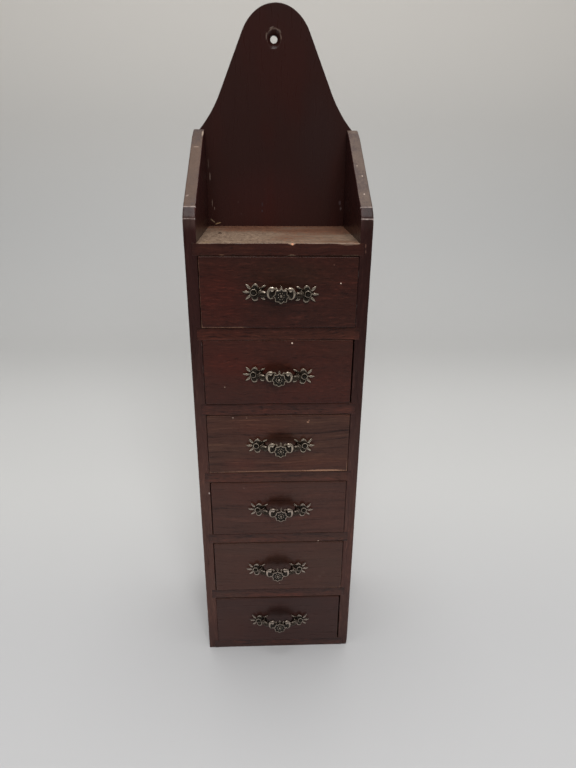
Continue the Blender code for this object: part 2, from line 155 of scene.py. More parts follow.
class Finish:
    def __init__(self, holder, shader="Principled BSDF"):       # holder is a material or the world
        self.holder = holder
        holder.use_nodes = True
        self.tree = holder.node_tree
        self.shader = self.tree.nodes[shader]

    def join(self, value, socket):
        if isinstance(value, Wire):
            self.tree.links.new(value.socket, socket)
        else:
            socket.default_value = value

    # any node: its kind, its settings, then what goes into its sockets
    def node(self, kind, settings=None, sockets=None, out=0):
        made = self.tree.nodes.new("ShaderNode" + kind)
        for key, value in (settings or {}).items():
            setattr(made, key, value)
        for key, value in (sockets or {}).items():
            self.join(value, made.inputs[key])
        return Wire(self, made.outputs[out])

    def mix(self, share, first, second, how="MIX"):
        settings = {"data_type": "RGBA", "blend_type": how}
        return self.node("Mix", settings, {0: share, 6: first, 7: second}, 2)

    def fade(self, value, low, high):           # 0 below low, 1 above high, smooth between
        return self.node("MapRange", {"interpolation_type": "SMOOTHSTEP"}, {0: value, 1: low, 2: high})

    def point(self, x, y, z):
        return self.node("CombineXYZ", None, {0: x, 1: y, 2: z})

    def split(self, vector):
        parts = self.node("SeparateXYZ", None, {0: vector}).socket.node.outputs
        return [Wire(self, part) for part in parts]

    def grit(self, place, detail=3.0, roughness=0.5):       # noise, one cell to a unit
        sockets = {"Vector": place, "Scale": 1.0, "Detail": detail, "Roughness": roughness}
        return self.node("TexNoise", None, sockets)

    def millimetres(self):
        place = self.node("TexCoord", None, None, "Object")
        return self.split(self.node("VectorMath", {"operation": "SCALE"}, {0: place, "Scale": 1 / mm}))

    def attribute(self, name):
        return self.node("Attribute", {"attribute_name": name}, None, "Fac")

    def apply(self, **sockets):                 # the shader's own sockets, with _ for a space
        for key, value in sockets.items():
            self.join(value, self.shader.inputs[key.replace("_", " ")])
        return self.holder


# Open-pored stained wood; along is the axis of its grain. Clouds, where the stain is deeper or paler or where
# light and shade are painted in, are (x, z, half width, half height, share, tint), and may end with -1 if
# only the front has one, or 1 if only the rear has; marks are (plane, u, v, half width, half height, colour)
# and may end with a lean in degrees
woodLook = {
    "along": "x", "seed": 0.0,
    "dark": (32, 14, 11), "mid": (49, 25, 19), "light": (76, 38, 28),
    "streaks": 0.7, "fibres": 0.9, "dashes": 1.0, "redness": 0.4, "pores": 0.7, "drift": 7.0, "ripple": 3.0,
    "worn": (146, 108, 86), "wear": 0.8,
    "dust": (122, 102, 90), "dustTwo": (122, 102, 90), "dusting": 0.1, "dustFrom": 0.72,
    "patchy": 0.0, "dustLean": (0.0, 0.0),
    "rough": 0.3, "shine": 0.3, "relief": 0.3, "marks": (), "clouds": (),
}
woodFigure = {      # cells to a millimetre along and across the grain, detail, roughness, place in the log
    "drift": (0.018, 0.03, 1.0, 0.5, 0.0), "ripple": (0.09, 0.11, 2.0, 0.5, 0.0),
    "streak": (0.012, 0.3, 3.0, 0.6, 0.0), "fibre": (0.05, 0.9, 3.0, 0.6, 0.0),
    "dash": (0.24, 1.2, 2.0, 0.5, 3.0), "patch": (0.02, 0.05, 2.0, 0.5, 7.0),
}


def makeWood(name, **changes):
    look = {**woodLook, **changes}
    seed = look["seed"]
    finish = Finish(bpy.data.materials.new(name))
    x, y, z = finish.millimetres()
    normals = finish.split(finish.node("TexCoord", None, None, "Normal"))
    grain, across, through = {"x": (x, z, y), "y": (y, x, z), "z": (z, x, y)}[look["along"]]

    def figure(kind):                   # noise drawn out along the grain
        long, short, detail, roughness, place = woodFigure[kind]
        depth = through * short + place
        return finish.grit(finish.point(grain * long + seed, across * short, depth), detail, roughness)

    wander = [(figure(kind) - 0.5) * look[kind] for kind in ("drift", "ripple")]
    across = across + wander[0] + wander[1]
    streak, fibre, dash, patch = [figure(kind) for kind in ("streak", "fibre", "dash", "patch")]
    speckle = finish.grit(finish.point(x * 0.9, y * 0.9, z * 0.9 + seed), 4.0, 0.7)

    # short dark dashes: long thin cells, of which only some hold a pore
    cells = finish.node("TexVoronoi", None, {
        "Vector": finish.point(grain * 0.26 + seed, across * 1.4, through * 1.4), "Scale": 1.0})
    picked = finish.split(Wire(finish, cells.socket.node.outputs["Color"]))[0]
    pore = (1 - finish.fade(cells, 0.12, 0.36)) * finish.fade(picked, 0.35, 0.75)

    tone = (streak - 0.5) * look["streaks"] + (fibre - 0.5) * look["fibres"] + 0.5
    tone = tone + (dash - 0.5) * look["dashes"]
    colour = finish.mix(finish.fade(tone, 0.1, 0.5), rgb(*look["dark"]), rgb(*look["mid"]))
    colour = finish.mix(finish.fade(tone, 0.5, 0.95), colour, rgb(*look["light"]))
    redder = finish.mix(1.0, colour, (1.25, 0.82, 0.74, 1.0), "MULTIPLY")
    colour = finish.mix(finish.fade(patch, 0.42, 0.68) * look["redness"], colour, redder)
    colour = finish.mix(pore * look["pores"], colour, rgb(*(0.5 * part for part in look["dark"])))

    for cloudX, cloudZ, wide, tall, share, tint, *facesY in look["clouds"]:
        away = (((x - cloudX) * (1 / wide)) ** 2.0 + ((z - cloudZ) * (1 / tall)) ** 2.0) ** 0.5
        tinted = finish.mix(1.0, colour, (*tint, 1.0), "MULTIPLY")
        inside = 1 - finish.fade(away + (patch - 0.5) * 0.4, 0.2, 1.1)
        if facesY:
            inside = inside * finish.fade(normals[1] * facesY[0], 0.2, 0.5)
        colour = finish.mix(inside * share, colour, tinted)

    # cut ends drink more stain
    ends = finish.fade(abs(normals["xyz".index(look["along"])]), 0.6, 0.9)
    colour = finish.mix(ends * 0.5, colour, rgb(*look["dark"]))

    # rubbed arrises show paler wood, more in some stretches than in others; across the cheeks' facet corners
    # the paler colour is also a painted highlight
    rub = finish.grit(finish.point(x * 0.5 + seed, y * 0.5, z * 0.5), 3.0, 0.65)
    rubbedAndGlint = finish.fade(finish.attribute("arris") * (rub * 2.4 - 0.2), 0.2, 0.85)
    colour = finish.mix(rubbedAndGlint * look["wear"], colour, rgb(*look["worn"]))

    # dust lies on whatever faces up, in two tints; on the cheeks' slopes it also stands in for a painted
    # sheen of the top light
    facing = finish.fade(finish.split(finish.node("NewGeometry", None, None, "Normal"))[2],
                         look["dustFrom"], look["dustFrom"] + 0.14)
    flecks = finish.grit(finish.point(x * 0.45 + seed, y * 0.2, z * 0.3), 5.0, 0.75)
    flecks = (flecks - 0.5) * look["patchy"]
    lean = x * look["dustLean"][0] + y * look["dustLean"][1]
    dustSheenMask = facing * (flecks + fibre * 0.7 + dash * 0.5 + speckle * 0.7 - 0.05) * look["dusting"]
    blotch = finish.fade(patch + flecks * 0.3 + (fibre - 0.5) * 0.6 + (speckle - 0.5) * 0.4 + lean, 0.4, 0.62)
    tint = finish.mix(blotch, rgb(*look["dust"]), rgb(*look["dustTwo"]))
    colour = finish.mix(dustSheenMask, colour, tint)

    for plane, u, v, wide, tall, markTint, *lean in look["marks"]:
        turn = math.radians(sum(lean))
        aside = x - u
        along = (z if plane == "xz" else y) - v
        longer = (aside * math.cos(turn) + along * math.sin(turn)) * (1 / wide)
        shorter = (along * math.cos(turn) - aside * math.sin(turn)) * (1 / tall)
        away = (longer ** 2.0 + shorter ** 2.0) ** 0.5 + (speckle - 0.5) * 0.9
        shown = finish.fade(0 - normals[1] if plane == "xz" else normals[2], 0.2, 0.5)
        colour = finish.mix((1 - finish.fade(away, 0.5, 1.0)) * shown, colour, rgb(*markTint))

    rough = look["rough"] + (fibre - 0.5) * 0.2 + pore * 0.2 + dustSheenMask * 0.3
    height = fibre * 0.35 - pore * look["pores"] + speckle * dustSheenMask * 0.5
    bump = finish.node("Bump", None, {"Strength": look["relief"], "Distance": 0.12 * mm, "Height": height})
    return finish.apply(Base_Color=colour, Roughness=rough, Normal=bump, Specular_IOR_Level=look["shine"])


# Cast brass gone dark in its hollows and rubbed bright on what stands proud; faces turned up are painted
# brighter and faces turned down darker, a painted top light
brassLook = {
    "bright": (200, 185, 167), "body": (64, 55, 47), "patina": (30, 25, 20), "rough": 0.3, "paintedTopLight": 0.32,
}


def makeBrass(name, **changes):
    look = {**brassLook, **changes}
    finish = Finish(bpy.data.materials.new(name))
    x, y, z = finish.millimetres()
    mottle = finish.grit(finish.point(x * 1.3, y * 1.3, z * 1.3), 4.0, 0.6) - 0.5
    upward = finish.split(finish.node("NewGeometry", None, None, "Normal"))[2]
    # faces turned up count as prouder: painted top light above, painted shade beneath
    proud = finish.attribute("relief") + mottle * 0.25 + upward * look["paintedTopLight"]
    polishAndTopLight = finish.fade(proud, 0.74, 1.04)
    patinaAndUnderShade = 1 - finish.fade(proud, 0.3, 0.6)
    colour = finish.mix(polishAndTopLight, rgb(*look["body"]), rgb(*look["bright"]))
    colour = finish.mix(patinaAndUnderShade, colour, rgb(*look["patina"]))
    rough = look["rough"] + patinaAndUnderShade * 0.3 + mottle * 0.2 - polishAndTopLight * 0.05
    bump = finish.node("Bump", None, {"Strength": 0.2, "Distance": 0.05 * mm, "Height": mottle})
    return finish.apply(Base_Color=colour, Metallic=1 - patinaAndUnderShade * 0.7, Roughness=rough, Normal=bump)


# Boards: rings run round an outline, over the arris of each face, so wear follows the edges
boardMake = {
    "support": 0.5, "steps": 3, "clear": 2.2,       # no stop is nearer a sharp corner than clear
    "crisp": 0.05, "weld": 0.02, "sliver": 0.004,
}


def layOutline(points, spacing, corner):    # points are (place, sharp), running anticlockwise
    stops = []
    steps = boardMake["steps"]
    for index, (here, sharp) in enumerate(points):
        before = points[index - 1][0]
        after, sharpNext = points[(index + 1) % len(points)]
        into = (here - before).normalized()
        onward = (after - here).normalized()
        first = Vector((into.y, -into.x))
        second = Vector((onward.y, -onward.x))
        if sharp:
            mitre = -(first + second) / (1 + first.dot(second))
            for step in range(steps + 1):
                normal = first.lerp(second, step / steps).normalized()
                stops.append((here + mitre * corner, normal, mitre, corner))
        else:
            stops.append((here, (first + second).normalized(), None, 0.0))
        length = (after - here).length
        start = boardMake["clear"] * sharp
        end = length - boardMake["clear"] * sharpNext
        count = max(1, round((end - start) / spacing))
        for step in range(count + 1):
            reach = start + (end - start) * step / count
            if 0.01 < reach < length - 0.01:
                stops.append((here.lerp(after, reach / length), second, None, 0.0))
    return stops


def insetStop(stop, depth):
    place, normal, mitre, corner = stop
    if mitre is None:
        return place - normal * depth
    if depth < corner:
        return place + normal * (corner - depth)
    return place + mitre * (depth - corner)


# chips are (u, v, face, reach, bite), rubs (u, v, half span, half height, amount) and bands, which
# cross the whole edge, (u, v, reach, amount); past plainFrom an end is housed and stays crisp
arrisLook = {
    "radius": 0.42, "ease": 0.5, "spacing": 1.5, "seed": 0.0, "most": 0.95, "corner": 0.4, "rub": 0.25,
    "rubBite": 0.35, "plainFrom": 999.0, "chips": (), "rubs": (), "bands": (),
}


def spotAt(u, v, arris):            # how far the named rubs reach a place
    most = 0.0
    for rubU, rubV, spanU, spanV, amount in arris["rubs"]:
        near = 1 - ((u - rubU) / spanU) ** 2 - ((v - rubV) / spanV) ** 2
        most = max(most, amount * min(1.0, 2 * near))
    return most


def arrisRadius(stop, side, arris):
    u, v = stop[0]                  # the same for every stop round a corner
    if abs(u) > arris["plainFrom"]:
        return boardMake["crisp"]
    seed = arris["seed"] + 11.0 * side
    wander = wave(u * 0.11, v * 0.11, seed) + 0.6 * wave(u * 0.47, v * 0.47, seed)
    radius = arris["radius"] * max(0.4, 1 + arris["ease"] * wander) + arris["rubBite"] * spotAt(u, v, arris)
    for chipU, chipV, chipSide, reach, bite in arris["chips"]:
        near = 1 - ((u - chipU) ** 2 + (v - chipV) ** 2) / reach ** 2
        if chipSide == side and near > 0:
            radius += bite * math.sqrt(near) * (1 + 0.5 * wave(u * 1.9, v * 1.9, seed))
    return min(radius, arris["most"])


def rubAt(stop, arris):             # shares of wear for the arris and for the whole edge
    u, v = insetStop(stop, 0.0)
    wander = wave(u * 0.09, v * 0.09, arris["seed"] + 5) + wave(u * 0.3, v * 0.3, arris["seed"])
    amount = 0.0 if abs(u) > arris["plainFrom"] else arris["rub"] * (1 + wander)
    amount = max(amount, spotAt(u, v, arris))
    band = 0.0
    for bandU, bandV, reach, most in arris["bands"]:
        band = max(band, most * min(1.0, 2 - 2 * math.hypot(u - bandU, v - bandV) / reach))
    return max(0.0, min(1.0, amount)), band


def faceRings(stops, level, side, radii):   # from the flat of a face round to the wall
    steps = boardMake["steps"]
    support = boardMake["support"]
    rings = [([(insetStop(stop, radius + support), level) for stop, radius in zip(stops, radii)], 0.0)]
    for step in range(steps + 1):
        turn = math.pi / 2 * (1 - step / steps)
        ring = [(insetStop(stop, radius * (1 - math.cos(turn))), level - side * radius * (1 - math.sin(turn)))
                for stop, radius in zip(stops, radii)]
        rings.append((ring, 0.3 + 0.7 * math.sin(2 * turn)))
    wall = [(insetStop(stop, 0.0), level - side * (radius + support)) for stop, radius in zip(stops, radii)]
    rings.append((wall, 0.0))
    return rings


def loopFaces(shape, first, second):
    for index in range(len(first)):
        after = (index + 1) % len(first)
        shape.faces.new((first[index], first[after], second[after], second[index]))


def walk(loop, start, end, step):
    places = [loop[start]]
    while start != end:
        start = (start + step) % len(loop)
        places.append(loop[start])
    return places


def inLine(ring, spot, way):        # the ring's point straight over the spot, or straight under it
    return min(range(len(ring)), key=lambda index: (way * (ring[index].co.z - spot.z) < 0,
                                                    abs(ring[index].co.x - spot.x)))


def capRing(shape, ring, hole):     # round a hole, two faces that meet over it and under it
    if hole is None:
        shape.faces.new(ring)
        return
    over = len(hole) // 4
    under = 3 * over
    top = inLine(ring, hole[over].co, 1)
    foot = inLine(ring, hole[under].co, -1)
    shape.faces.new(walk(ring, top, foot, 1) + walk(hole, under, over, -1))
    shape.faces.new(walk(ring, foot, top, 1) + walk(hole, over, under, -1))


def makeBoard(name, outline, low, high, axes, arris=None, hole=None):
    arris = {**arrisLook, **(arris or {})}
    area = sum(a[0].x * b[0].y - b[0].x * a[0].y for a, b in zip(outline, outline[1:] + outline[:1]))
    stops = layOutline(outline if area > 0 else outline[::-1], arris["spacing"], arris["corner"])
    lowRadii = [arrisRadius(stop, -1, arris) for stop in stops]
    highRadii = [arrisRadius(stop, 1, arris) for stop in stops]
    rings = faceRings(stops, low, -1, lowRadii) + faceRings(stops, high, 1, highRadii)[::-1]
    shape = bmesh.new()
    rubLayer = shape.verts.layers.float.new("arris")

    def addRing(places, rubs):
        ring = []
        for (flat, level), rub in zip(places, rubs):
            position = [0.0, 0.0, 0.0]
            for value, axis in zip((flat[0], flat[1], level), axes):
                position["xyz".index(axis)] = value * mm
            vert = shape.verts.new(position)
            vert[rubLayer] = rub
            ring.append(vert)
        return ring

    loops = []
    shares = [rubAt(stop, arris) for stop in stops]
    for index, (places, rub) in enumerate(rings):
        edge = 0.0 if index in (0, len(rings) - 1) else 1.0
        loops.append(addRing(places, [max(rub * share, edge * band) for share, band in shares]))
    for first, second in zip(loops, loops[1:]):
        loopFaces(shape, first, second)
    holeLoops = [addRing(places, rubs) for places, rubs in (hole or ())]
    for first, second in zip(holeLoops, holeLoops[1:]):
        loopFaces(shape, first, second)
    capRing(shape, loops[0], holeLoops[0] if hole else None)
    capRing(shape, loops[-1], holeLoops[-1] if hole else None)
    bmesh.ops.remove_doubles(shape, verts=shape.verts, dist=boardMake["weld"] * mm)
    bmesh.ops.dissolve_degenerate(shape, edges=shape.edges, dist=boardMake["sliver"] * mm)
    bmesh.ops.recalc_face_normals(shape, faces=shape.faces)
    mesh = bpy.data.meshes.new(name)
    shape.to_mesh(mesh)
    shape.free()
    return addPiece(name, mesh)


def rectangle(low, high):
    corners = ((low[0], low[1]), (high[0], low[1]), (high[0], high[1]), (low[0], high[1]))
    return [(Vector(corner), True) for corner in corners]


def bake(piece):        # leaves the piece as its modifiers make it
    graph = bpy.context.evaluated_depsgraph_get()
    made = bpy.data.meshes.new_from_object(piece.evaluated_get(graph))
    old = piece.data
    piece.modifiers.clear()
    piece.data = made
    bpy.data.meshes.remove(old)


def cutBoxes(piece, boxes):
    shape = bmesh.new()
    for low, high in boxes:
        size = Matrix.Diagonal((*(high - low) * mm, 1.0))
        bmesh.ops.create_cube(shape, size=1.0, matrix=Matrix.Translation((low + high) / 2 * mm) @ size)
    mesh = bpy.data.meshes.new("housings")
    shape.to_mesh(mesh)
    shape.free()
    cutter = addPiece("housings", mesh)
    cut = piece.modifiers.new("housings", "BOOLEAN")
    cut.operation = "DIFFERENCE"
    cut.object = cutter
    bake(piece)
    bpy.data.objects.remove(cutter)
    bpy.data.meshes.remove(mesh)


def settle(piece, node, material, sharpAngle=40):
    piece.data.shade_smooth()
    piece.data.set_sharp_from_angle(angle=math.radians(sharpAngle))
    piece.data.materials.clear()
    piece.data.materials.append(material)
    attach(piece, frame["nodes"][node]["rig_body"])
    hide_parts(node)
    return piece


def roundCorner(before, here, after, radius, steps=4):
    into = (before - here).normalized()
    onward = (after - here).normalized()
    half = into.angle(onward) / 2
    centre = here + (into + onward).normalized() * (radius / math.sin(half))
    first = here + into * (radius / math.tan(half)) - centre
    second = here + onward * (radius / math.tan(half)) - centre
    return [centre + first.lerp(second, step / steps).normalized() * radius for step in range(steps + 1)]


def arcPoints(centre, radius, start, end, steps):
    angles = [start + (end - start) * step / steps for step in range(steps + 1)]
    return [Vector((centre[0] + radius * math.cos(a), centre[1] + radius * math.sin(a))) for a in angles]


# Side boards, their tops cut to a short facet, a slope and a crown
sideMake = {
    "frontRise": 12.0, "facet": (5.3, 5.1), "slope": math.radians(31.6), "slopeEnd": 57.0, "crown": 60.0,
    "crownSteps": 14, "facetRounds": (3.6, 5.0), "facetWearAndGlint": (0.65, 0.8), "rearReach": 0.22,
    "housingGap": (0.05, 2.0, 0.04),
}
crossBoards = ["top_shelf"] + [f"divider_{number}" for number in range(1, 6)] + ["bottom_board"]
sideMids = {"left": (45, 24, 22), "right": (40, 21, 19)}
sideDustAndSheen = {"left": (0.56, (120, 96, 80)), "right": (0.72, (122, 104, 92))}     # how much dust, and its tint; on the slopes partly a painted sheen
sideMarks = {
    "left": (("xz", -42.3, 127.4, 0.35, 0.9, (186, 168, 162)),
             ("xz", -42.4, 50.9, 0.5, 0.4, (150, 126, 112)),
             ("xy", -45.0, 13.5, 2.0, 0.5, (150, 128, 114)), ("xy", -42.2, 26.0, 0.6, 4.0, (160, 140, 124)),
             ("xy", -46.4, -24.0, 1.0, 0.6, (140, 122, 112), 40.0)),
    "right": (("xz", 44.6, 275.6, 0.4, 1.4, (92, 64, 54)), ("xz", 44.8, 272.6, 0.35, 1.2, (84, 58, 50)),
              ("xy", 45.4, -9.0, 0.4, 0.7, (190, 170, 156)), ("xy", 44.8, -22.5, 0.4, 0.6, (196, 176, 162)),
              ("xy", 43.6, -1.0, 0.35, 0.6, (176, 158, 142)), ("xy", 46.0, 10.0, 0.9, 0.5, (98, 80, 70))),
}
# The lower half paler is a painted reflection of the floor, the front of each cheek greyer under its facet a
# painted highlight, and the upper cheek paler painted fill light for its shaded inner face
sidePaintedLight = {          # painted light: paler low down, greyer under each facet, paler on the upper cheek
    "left": ((-45.0, 92.0, 200.0, 130.0, 1.0, (2.5, 3.3, 2.9)),
             (-45.0, 288.0, 30.0, 5.0, 0.7, (2.0, 3.4, 3.3), -1),
             (-41.6, 312.0, 3.0, 40.0, 1.0, (1.7, 1.7, 1.8))),
    "right": ((45.0, 92.0, 200.0, 130.0, 1.0, (2.5, 3.2, 2.95)),
              (45.0, 288.0, 30.0, 5.0, 0.25, (2.0, 3.6, 3.5), -1),
              (41.6, 312.0, 3.0, 40.0, 1.0, (1.7, 1.7, 1.8))),
}


def sideOutline(front, rear):       # and the two corners of its facet
    frontTop = Vector((front, boxOf("top_shelf")[1].z + sideMake["frontRise"]))
    slope = sideMake["slope"]
    slopeStart = frontTop + Vector(sideMake["facet"])
    run = front + sideMake["slopeEnd"] - slopeStart.x
    slopeEnd = slopeStart + Vector((run, run * math.tan(slope)))
    centre = slopeEnd + sideMake["crown"] * Vector((math.sin(slope), -math.cos(slope)))
    start = math.acos((rear - centre.x) / sideMake["crown"])
    crown = arcPoints(centre, sideMake["crown"], start, math.pi / 2 + slope, sideMake["crownSteps"])
    base = Vector((front, 0.0))
    low, high = sideMake["facetRounds"]
    facet = roundCorner(slopeEnd, slopeStart, frontTop, high) + roundCorner(slopeStart, frontTop, base, low)
    outline = [(base, True), (Vector((rear, 0.0)), True), (crown[0], True)]
    return outline + [(point, False) for point in crown[1:] + facet], (frontTop, slopeStart)


def makeSides():
    gap = Vector(sideMake["housingGap"])
    for hand, seed, outer in (("left", 3.0, -1), ("right", 19.0, 1)):
        low, high = boxOf(f"{hand}_side")
        outline, corners = sideOutline(low.y, high.y + sideMake["rearReach"])
        top = outline[2][0]
        chips = [(top.x, top.y, outer, 9.0, 0.35)]
        chips += [(corner.x, corner.y, face, 2.5, 0.25) for corner in corners for face in (-1, 1)]
        chips += [(low.y, 0.0, outer, 4.0, 0.8)] if hand == "right" else []
        # bands of the worn colour across the facet's two corners, partly wear and partly a painted highlight
        # of the key lamp
        bands = [(corner.x + 0.2, corner.y, 0.5, amount)
                 for corner, amount in zip(corners, sideMake["facetWearAndGlint"])]
        arris = {"seed": seed, "chips": chips, "bands": bands, "rub": 0.22, "most": 1.3}
        piece = makeBoard(f"{hand}_side_wood", outline, low.x, high.x, "yzx", arris)
        cutBoxes(piece, [(boxOf(node)[0] - gap, boxOf(node)[1] + gap) for node in crossBoards])
        dusting, dust = sideDustAndSheen[hand]
        wood = makeWood(f"{hand}SideStain", along="z", seed=seed, dark=(31, 14, 13), mid=sideMids[hand],
                        light=(62, 36, 32), pores=0.3, streaks=0.5, dashes=0.6, redness=0.25, shine=0.2,
                        worn=(176, 160, 154), dusting=dusting, dust=dust, dustTwo=(92, 78, 74), patchy=1.0,
                        marks=sideMarks[hand], clouds=sidePaintedLight[hand])
        settle(piece, f"{hand}_side", wood)


# Shelf, dividers and bottom, let into the sides; the shelf's front arris is knocked about
crossMake = {"rearReach": 0.22, "housedFrom": 41.7}
shelfChips = (
    (37.0, -37.15, 1, 4.5, 0.6), (31.0, -37.15, 1, 2.6, 0.45), (41.0, -37.15, 1, 2.0, 0.5),
    (7.0, -37.15, 1, 1.3, 0.8), (-20.0, -37.15, 1, 3.0, 0.25), (18.0, -37.15, 1, 5.0, 0.25),
)
shelfRubs = (
    (37.0, -37.15, 7.0, 2.0, 0.6), (22.0, -37.15, 9.0, 2.0, 0.4), (7.0, -37.15, 1.6, 2.0, 1.0),
    (-38.0, -37.15, 6.0, 2.0, 0.5), (-14.0, -37.15, 12.0, 2.0, 0.3),
)
crossMids = ((50, 25, 20), (61, 31, 23), (62, 33, 26), (66, 38, 29), (65, 39, 31), (62, 37, 30), (54, 32, 27))
crossMarks = {
    "top_shelf": (("xy", -32.6, 0.2, 1.7, 3.6, (36, 20, 14)), ("xz", 7.0, 276.5, 0.9, 0.6, (206, 148, 116)),
                  ("xz", -29.0, 271.2, 1.6, 0.35, (92, 64, 50)), ("xz", 35.5, 276.4, 3.4, 0.6, (96, 74, 62)),
                  ("xy", 37.5, -35.0, 1.6, 1.4, (146, 124, 108)),
                  ("xy", -37.0, -34.0, 3.0, 2.0, (134, 112, 86)),
                  ("xy", -27.0, -31.0, 2.4, 1.6, (150, 130, 110)),
                  ("xy", -17.5, -33.0, 3.0, 1.2, (140, 116, 94))),
    "divider_4": (("xz", 25.4, 90.3, 0.45, 0.35, (190, 166, 150)),),
}


def makeCrossBoards():
    for index, node in enumerate(crossBoards):
        low, high = boxOf(node)
        arris = {"seed": 5.0 + index, "radius": 0.25, "rub": 0.08, "corner": 0.08,
                 "plainFrom": crossMake["housedFrom"]}
        top = (0.0, high.z + 0.3, 140.0, 4.0, 0.7, (0.5, 0.5, 0.55))       # painted shadow under the drawer front above
        ends = [(sign * 45.0, high.z, 4.5, 30.0, 0.8, (0.75, 0.78, 0.9)) for sign in (-1, 1)]
        look = dict(mid=crossMids[index], light=(86, 46, 36), redness=0.4, clouds=[top] + ends)
        if node == "top_shelf":
            arris.update(radius=0.3, rub=0.3, chips=shelfChips, rubs=shelfRubs)
            look.update(light=(70, 38, 28), redness=0.2, dashes=0.6, worn=(142, 118, 98), clouds=ends,
                        dust=(160, 136, 115), dustTwo=(132, 93, 72), dusting=0.68, patchy=2.4,
                        dustLean=(0.002, 0.005))
        outline = rectangle((low.x, low.y), (high.x, high.y + crossMake["rearReach"]))
        piece = makeBoard(f"{node}_wood", outline, low.z, high.z, "xyz", arris)
        wood = makeWood(f"{node}Stain", seed=23.0 + 3.7 * index, marks=crossMarks.get(node, ()), **look)
        settle(piece, node, wood)


# Back board: oval head, straight flanks, flared foot, and a countersunk hole to hang it by
backMake = {
    "head": (21.2, 25.0), "flankLean": math.radians(23.75), "flareStart": 32.0, "flareRadius": 72.0,
    "headSteps": 30, "flareSteps": 18,
    "holeShift": -1.1, "holeDrop": 17.0, "holeRadius": 2.0, "sinkWide": 4.0, "sinkTall": 5.0,
    "sinkDepth": 2.4, "holeSteps": 40,
}


def backOutline(halfWidth, base, top):
    lean = backMake["flankLean"]
    wide, tall = backMake["head"]
    start = math.atan(math.tan(lean) * tall / wide)     # where the oval head leans as the flank does
    head = [Vector((wide * point.x, top - tall + tall * point.y))
            for point in arcPoints((0.0, 0.0), 1.0, start, math.pi / 2, backMake["headSteps"] // 2)]
    radius = backMake["flareRadius"]
    drop = (backMake["flareStart"] - head[0].x) / math.tan(lean)
    flareTop = Vector((backMake["flareStart"], head[0].y - drop))
    centre = flareTop + radius * Vector((math.cos(lean), math.sin(lean)))
    end = math.acos((halfWidth - centre.x) / radius)
    flare = arcPoints(centre, radius, 2 * math.pi - end, math.pi + lean, backMake["flareSteps"])
    right = [(Vector((halfWidth, base)), True), (flare[0], True)]
    right += [(point, False) for point in flare[1:] + head]
    left = [(Vector((-point.x, point.y)), sharp) for point, sharp in reversed(right[:-1])]
    return right + left


def hangHole(front, rear, top):     # rings from the front face through to the rear face
    middle = top - backMake["holeDrop"]
    bore = backMake["holeRadius"]
    wide = backMake["sinkWide"]
    tall = backMake["sinkTall"]
    floorY = front + backMake["sinkDepth"]
    stages = ((wide + 0.6, tall + 0.6, front, 0.0), (wide + 0.15, tall + 0.15, front, 0.5),
              (wide - 0.1, tall - 0.1, front + 0.15, 0.6),
              ((wide + bore) / 2, (tall + bore) / 2, front + backMake["sinkDepth"] * 0.55, 0.0),
              (bore + 0.1, bore + 0.1, floorY, 0.1), (bore, bore, floorY + 0.2, 0.0),
              (bore, bore, rear - 0.35, 0.0), (bore + 0.1, bore + 0.1, rear - 0.1, 0.4),
              (bore + 0.3, bore + 0.3, rear, 0.2), (bore + 0.8, bore + 0.8, rear, 0.0))
    rings = []
    for ru, rv, level, rub in stages:
        ring = []
        rubs = []
        for step in range(backMake["holeSteps"]):
            turn = 2 * math.pi * step / backMake["holeSteps"]
            ragged = 1 + 0.05 * wave(math.cos(turn) * 2, math.sin(turn) * 2, level * 0.3)
            aside = backMake["holeShift"] + ru * ragged * math.cos(turn)
            ring.append(((aside, middle + rv * ragged * math.sin(turn)), level))
            rubs.append(rub * (0.65 + 0.35 * math.sin(turn)))       # the rim is rubbed most at its top
        rings.append((ring, rubs))
    return rings


backMarks = (
    ("xz", 39.2, 290.8, 0.9, 1.6, (70, 54, 54)), ("xz", 39.9, 287.6, 0.7, 1.3, (84, 68, 66)),
    ("xz", -8.5, 290.0, 0.5, 1.6, (54, 38, 40)), ("xz", -8.6, 286.0, 0.5, 0.9, (58, 44, 48)),
    ("xz", -40.3, 313.0, 0.4, 3.6, (74, 58, 52)), ("xz", -39.7, 305.6, 0.35, 2.6, (110, 92, 84)),
    ("xz", -39.0, 290.6, 0.35, 2.6, (92, 74, 66)), ("xz", -37.8, 287.4, 0.35, 1.0, (104, 86, 78)),
    ("xz", -23.2, 291.2, 0.5, 0.6, (60, 40, 36)), ("xz", -21.5, 284.2, 0.6, 0.5, (60, 40, 38)),
    ("xz", -39.2, 280.2, 2.2, 0.35, (126, 106, 84), -38.0), ("xz", -39.6, 277.8, 1.2, 0.5, (30, 16, 10)),
    ("xz", -36.0, 278.6, 2.4, 0.4, (138, 112, 82), 16.0),
    ("xz", -5.3, 378.6, 0.4, 2.0, (96, 80, 72)), ("xz", -2.4, 382.6, 1.6, 0.4, (96, 82, 74), 20.0),
    ("xz", 2.2, 381.0, 0.4, 1.4, (90, 76, 68), 30.0),
)
backStainAndLight = (                      # redder low down in front; a painted grey sheen to the right; the rear painted paler as fill light
    (-8.0, 292.0, 34.0, 22.0, 0.7, (1.3, 1.0, 1.05), -1),
    (26.0, 326.0, 16.0, 30.0, 0.6, (1.0, 1.3, 1.45), -1),
    (0.0, 190.0, 300.0, 500.0, 1.0, (1.7, 1.85, 1.75), 1),
)


def makeBack():
    low, high = boxOf("back_board")
    outline = backOutline(high.x, low.z, high.z)
    hole = hangHole(low.y, high.y, high.z)
    arris = {"seed": 41.0, "radius": 0.5, "rub": 0.12}
    piece = makeBoard("back_board_wood", outline, low.y, high.y, "xzy", arris, hole)
    wood = makeWood("backStain", along="z", seed=51.0, dark=(32, 16, 15), mid=(43, 23, 20),
                    light=(56, 31, 26), pores=0.04, streaks=0.35, fibres=0.15, dashes=0.05, redness=0.5,
                    relief=0.04, worn=(150, 126, 112), marks=backMarks, clouds=backStainAndLight)
    settle(piece, "back_board", wood)


